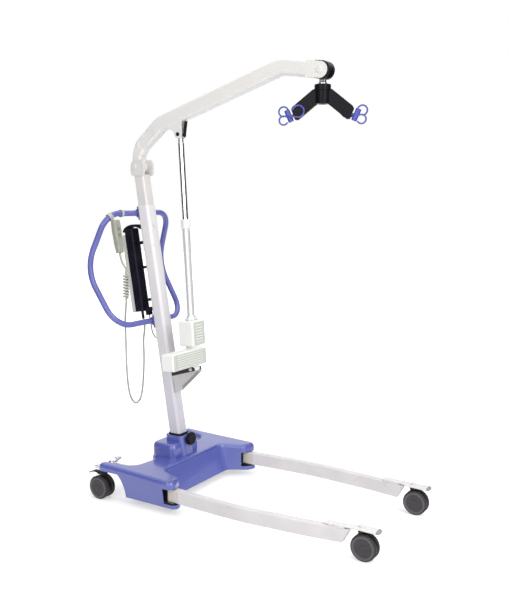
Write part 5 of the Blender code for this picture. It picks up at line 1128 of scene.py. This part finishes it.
collar_white = moulded("collar_white_plastic", (0.82, 0.82, 0.8), 0.26, 0.00003, 0.95)
tube_satin = Finish("tube_satin_aluminium", 0.16, 0.45)
tube_satin.cloudy((0.88, 0.88, 0.87), (0.82, 0.82, 0.815), 0.14, 0.06, 9.0, stretch=(1.0, 1.0, 0.2))
tube_satin.finished(700.0, 1.0, 0.00002, 0.4)
outer = turned([(0.0268, 0.2103), (0.0275, 0.211), (0.0275, 0.215), (0.0268, 0.2166), (0.025, 0.2176),
                (0.023, 0.219), (0.0212, 0.2215), (0.0199, 0.225), (0.019, 0.228), (0.0176, 0.2296),
                (0.016, 0.23), (0.016, 0.6004), (0.0155, 0.601), (0.0132, 0.601), (0.0131, 0.6),
                (0.0131, 0.22), (0.001, 0.2199)], foot, RAM, 72)
settle(outer, "actuator_tube", tube_satin, "actuator", "actuator_outer_tube", angle=30)
collar = turned([(0.0128, 0.6013), (0.0186, 0.6013), (0.0196, 0.602), (0.02, 0.6034), (0.02, 0.6384),
                 (0.0195, 0.64), (0.0182, 0.641), (0.015, 0.641), (0.0136, 0.6406)], foot, RAM, 72)
cut(collar, bar(0.0128, ram(0.59), ram(0.65), 72))
settle(collar, "actuator_collar", collar_white, "actuator", "rod_collar", angle=30)
rod = turned([(0.012, 0.505), (0.0125, 0.5056), (0.0125, 0.9614), (0.012, 0.962)], foot, RAM, 72)
settle(rod, "actuator_chrome_rod", chrome, "rod", "actuator_rod", angle=30)
eye = crossbar(0.017, LUG_PIN, 0.011, 64)
add(eye, bar(0.0108, ram(0.9623), LUG_PIN, 64))
cut(eye, crossbar(0.0066, LUG_PIN, sides=48))
settle(soften(eye, 0.0008), "rod_end_eye", zinc, "rod", "rod_eye")


# Boom
# A bent rectangular steel tube, warm-white powder coated: a solid neck on the pivot pin, shallow panels
# pressed into its sides, two welded cheeks for the actuator, and two cheeks at the end for the hanger.
boom_white = Finish("boom_warm_white_coat", 0.34)
boom_white.cloudy((0.806, 0.782, 0.754), (0.778, 0.755, 0.73), 0.3, 0.06, 8.0)
boom_white.worn((0.64, 0.62, 0.6), 0.4, 0.16, 70.0, 8.0, 0.67, 0.74, (0.4, 1.0, 1.0))
boom_white.finished(420.0, 2.0, 0.00002)
BOLT, BOLT_BORE = Vector((back(0.316), 0, 1.743)), 0.0063


def along_boom(path, outline_at):
    """Sections square to a path that runs upright along X; outline_at gives each from its length."""
    rings = []
    length = 0.0
    for i, point in enumerate(path):
        before, after = path[max(i - 1, 0)], path[min(i + 1, len(path) - 1)]
        length += (point - before).length
        run = ((point - before).normalized() + (after - point).normalized()).normalized()
        rise = Vector((run.z, 0, -run.x))
        rings.append([point + rise * q.x + Vector((0, q.y, 0)) for q in outline_at(length)])
    return rings


def boom_section(length):
    halves = [(0, 0.0235), (0.045, 0.0235), (0.09, 0.0285), (0.19, 0.031), (9, 0.031)]
    for (l0, h0), (l1, h1) in zip(halves, halves[1:]):
        if length <= l1:
            return round_outline(2 * (h0 + (h1 - h0) * (length - l0) / (l1 - l0)), 0.049, 0.012, 6)


boom_line = side_line([(1.213, 1.405, 0), (1.213, 1.452, 0.03), (1.191, 1.497, 0.05),
                       (1.085, 1.583, 0.1), (0.495, 1.7705, 0.12), (0.345, 1.749, 0)], 14)
boom = drawn_up(along_boom(boom_line, boom_section))
add(boom, crossbar(0.026, pivot_place, 0.0242, 72))
inner_line = side_line([(1.14, 1.5384, 0), (1.085, 1.583, 0.1), (0.495, 1.7705, 0.12),
                        (0.327, 1.7464, 0)], 8)
cut(boom, drawn_up(along_boom(inner_line, lambda length: round_outline(0.0548, 0.043, 0.008, 4))))
boom_run = (boom_line[-1] - boom_line[-2]).normalized()
boom_up = Vector((-boom_run.z, 0, boom_run.x))
level = atan2(boom_run.z, boom_run.x)


def arc_round(centre, radius, start, end, steps):
    """Points on an upright arc about a centre; angles in radians from +X towards +Z."""
    turns = [start + (end - start) * k / steps for k in range(steps + 1)]
    return [centre + Vector((cos(a), 0, sin(a))) * radius for a in turns]


lug = side_line([(0.968, 1.606, 0), (1.05, 1.58, 0), (1.04, 1.564, 0), (1.01, 1.545, 0)])
lug += arc_round(LUG_PIN, 0.018, radians(195), radians(345), 20)
rear = boom_line[-1] - boom_run * 0.03
cheek = [rear + boom_up * 0.0305, rear - boom_up * 0.0305]
cheek += arc_round(BOLT, 0.0305, level - radians(88), level + radians(88), 36)
for way in (-1, 1):
    add(boom, standing_plate(lug, way * 0.0155, 0.006), standing_plate(cheek, way * 0.0213, 0.0058))
panel = side_line([(1.145, 1.56, 0.008), (1.114, 1.556, 0.01), (1.106, 1.54, 0.008),
                   (1.17, 1.483, 0.01), (1.19, 1.482, 0.008), (1.2, 1.502, 0.01)], closed=True)
for way in (-1, 1):
    cut(boom, standing_plate(panel, way * 0.0245, 0.0048))
for centre, radius in ((pivot_place, PIN_BORE), (LUG_PIN, BOLT_BORE), (BOLT, BOLT_BORE)):
    cut(boom, crossbar(radius, centre, sides=48))
settle(boom, "boom_tube", boom_white, "boom_arm", "boom")
stay = block((0.009, 0.012, 0.066), (back(0.961), 0, 1.556), 0.002, radians(-9))
settle(stay, "boom_rubber_stop", castor_black, "boom_arm")
for side, name in SIDES:
    bolt = turned([(0.006, 0.0127), (0.006, 0.0187), (0.008, 0.0188), (0.008, 0.0218), (0.0072, 0.023),
                   (0.0058, 0.0235), (0.0032, 0.0235)], LUG_PIN, (0, side, 0), 48)
    settle(bolt, name + "_lug_screw", castor_black, "boom_arm", name + "_lug_bolt", angle=30)


# Boom end
# A black nylon nose closes the tube between the end cheeks; a bolt, in the boom's white coat, crosses it and
# carries the flat hanger link, which swings in the nose's slot.
middle = BOLT + Vector((0.0055, 0, 0))
tip = boom_line[-1] + boom_run * 0.0003
nose = arc_round(middle, 0.0335, level - radians(86), level + radians(86), 40)
nose += [tip + boom_up * 0.0315, tip - boom_up * 0.0315]
cap = standing_plate(nose, 0.0, 0.049, 0.003)
cut(cap, crossbar(BOLT_BORE, BOLT, sides=48))
seat = [tip - boom_run * 0.03 + boom_up * 0.0309, tip - boom_run * 0.03 - boom_up * 0.0309]
seat += arc_round(BOLT, 0.0309, level - radians(88), level + radians(88), 36)
for way in (-1, 1):
    cut(cap, standing_plate(seat, way * 0.0252, 0.014))
fan = []
for angle, sign in ((-22, -1), (62, 1)):
    way = Vector((sin(radians(angle)), 0, -cos(radians(angle))))
    near = BOLT + Vector((-way.z, 0, way.x)) * sign * 0.014
    fan.append([near, near + way * 0.09])
below = BOLT + Vector((0.03, 0, -0.11))
cut(cap, standing_plate([*fan[0], below, *reversed(fan[1])], 0.0, 0.015), crossbar(0.015, BOLT, 0.0075, 64))
settle(cap, "boom_nose", castor_black, "boom_arm", "boom_end_cap")
pin = turned(both_ends([(0.005, 0.0292), (0.0086, 0.029), (0.0098, 0.028), (0.01, 0.0262), (0.01, 0.0247),
                        (0.006, 0.0246)]), BOLT, (0, 1, 0))
settle(pin, "boom_end_screw", boom_white, "boom_arm", "boom_end_bolt", angle=30)
link_line = arc_round(BOLT, 0.012, 0, pi, 24) + [Vector((BOLT.x + x, 0, 1.7)) for x in (-0.012, 0.012)]
link = standing_plate(link_line, 0.0, 0.012, 0.0008)
swivel = turned([(0.013, 1.634), (0.014, 1.6348), (0.014, 1.638), (0.008, 1.6382), (0.008, 1.6917),
                 (0.0156, 1.6918), (0.016, 1.693), (0.016, 1.6976), (0.0122, 1.7008), (0.006, 1.701)],
                (BOLT.x, 0, 0), sides=64)
add(link, swivel)
cut(link, crossbar(0.0064, BOLT, sides=48))
settle(link, "hanger_swivel_link", zinc, "hanger", "hanger_link")


# Spreader and sling hooks
# A black-coated hub with a collar turns on the link's swivel pin; two flat black arms slope down from it, and
# each ends in a boss with three hooks of blue-coated spring wire for a sling's strap loops.
BAR_YAW, HOOK_PIN_Z = radians(20.0), 1.5795


def on_bar(u, z, n=0.0):
    """A point of the spreader: u along its arms, n across them, z up."""
    return Vector((BOLT.x + u * cos(BAR_YAW) - n * sin(BAR_YAW), u * sin(BAR_YAW) + n * cos(BAR_YAW), z))


hub = turned([(0.015, 1.62), (0.024, 1.62), (0.0258, 1.6212), (0.027, 1.624), (0.028, 1.6675),
              (0.0295, 1.6683), (0.0306, 1.6694), (0.031, 1.671), (0.031, 1.689), (0.0304, 1.6906),
              (0.0288, 1.6915), (0.009, 1.6915)], (BOLT.x, 0, 0), sides=80)
cut(hub, turned([(0.0145, 1.61), (0.0145, 1.6383), (0.0083, 1.6384), (0.0083, 1.7)],
                (BOLT.x, 0, 0), sides=64))
arm = [(0.018, 1.6785), (0.037, 1.6726), (0.113, 1.6115), (0.118, 1.602), (0.103, 1.563),
       (0.092, 1.562), (0.029, 1.613), (0.018, 1.6212)]
for side in (-1, 1):
    line = rounded([(Vector((side * u, 0, z)), 0.004 if u > 0.05 else 0.0) for u, z in arm], 5, closed=True)
    piece = standing_plate(line, 0.0, 0.022, 0.0022)
    add(hub, placed(piece, (BOLT.x, 0, 0), (0, 0, BAR_YAW)))
    cut(hub, bar(0.0048, on_bar(side * 0.09, HOOK_PIN_Z), on_bar(side * 0.13, HOOK_PIN_Z), 32))
spreader_black = moulded("spreader_black_coat", (0.006, 0.006, 0.009), 0.3, 0.0001, 0.7, 0.12)
settle(hub, "spreader_bar_arms", spreader_black, "spreader_bar", "spreader")

hook_blue = Finish("hook_blue_coat", 0.26)
hook_blue.cloudy((0.07, 0.085, 0.4), (0.055, 0.065, 0.33), 0.22, 0.08, 40.0)
hook_blue.worn((0.12, 0.13, 0.36), 0.6, 0.18, 160.0, 6.0, 0.62, 0.74)
hook_blue.finished(500.0, 2.0, 0.00004)
for side, name in ((-1, "rear"), (1, "front")):
    low, high = on_bar(side * 0.1175, 1.556), on_bar(side * 0.1365, 1.6)
    tall = (high - low).length
    boss = turned([(0.008, 0.0), (0.0097, 0.0006), (0.0105, 0.002), (0.0105, tall - 0.002),
                   (0.0097, tall - 0.0006), (0.008, tall)], low, high - low, 48)
    add(boss, bar(0.0045, on_bar(side * 0.1, HOOK_PIN_Z), on_bar(side * 0.125, HOOK_PIN_Z), 32))
    for (u, z), radius, (u0, z0), n_start, n_loop in (
            ((0.149, 1.595), 0.0182, (0.129, 1.583), 0.0055, 0.0055),
            ((0.147, 1.5615), 0.0165, (0.124, 1.571), -0.0055, -0.0055),
            ((0.089, 1.5935), 0.0215, (0.126, 1.576), side * 0.008, side * 0.0175)):
        c, b = Vector((side * u, z)), Vector((side * u0, z0))
        away = b - c
        lean = atan2(away.y, away.x)
        offset = atan2(sqrt(away.length ** 2 - radius ** 2), radius)
        line = [on_bar(b.x, b.y, n_start)]
        for k in range(49):
            a = lean - side * (offset + radians(265) * k / 48)
            line.append(on_bar(c.x + radius * cos(a), c.y + radius * sin(a), n_loop))
        if n_start != n_loop:
            clear = line[0].lerp(line[1], 0.3)
            line.insert(1, clear + (on_bar(0, 0, n_loop) - on_bar(0, 0, n_start)) * 0.7)
        boss = together(boss, as_mesh(line_piece(line, 0.0032)))
    settle(boss, name + "_hook_set", hook_blue, "spreader_bar", name + "_sling_hooks")
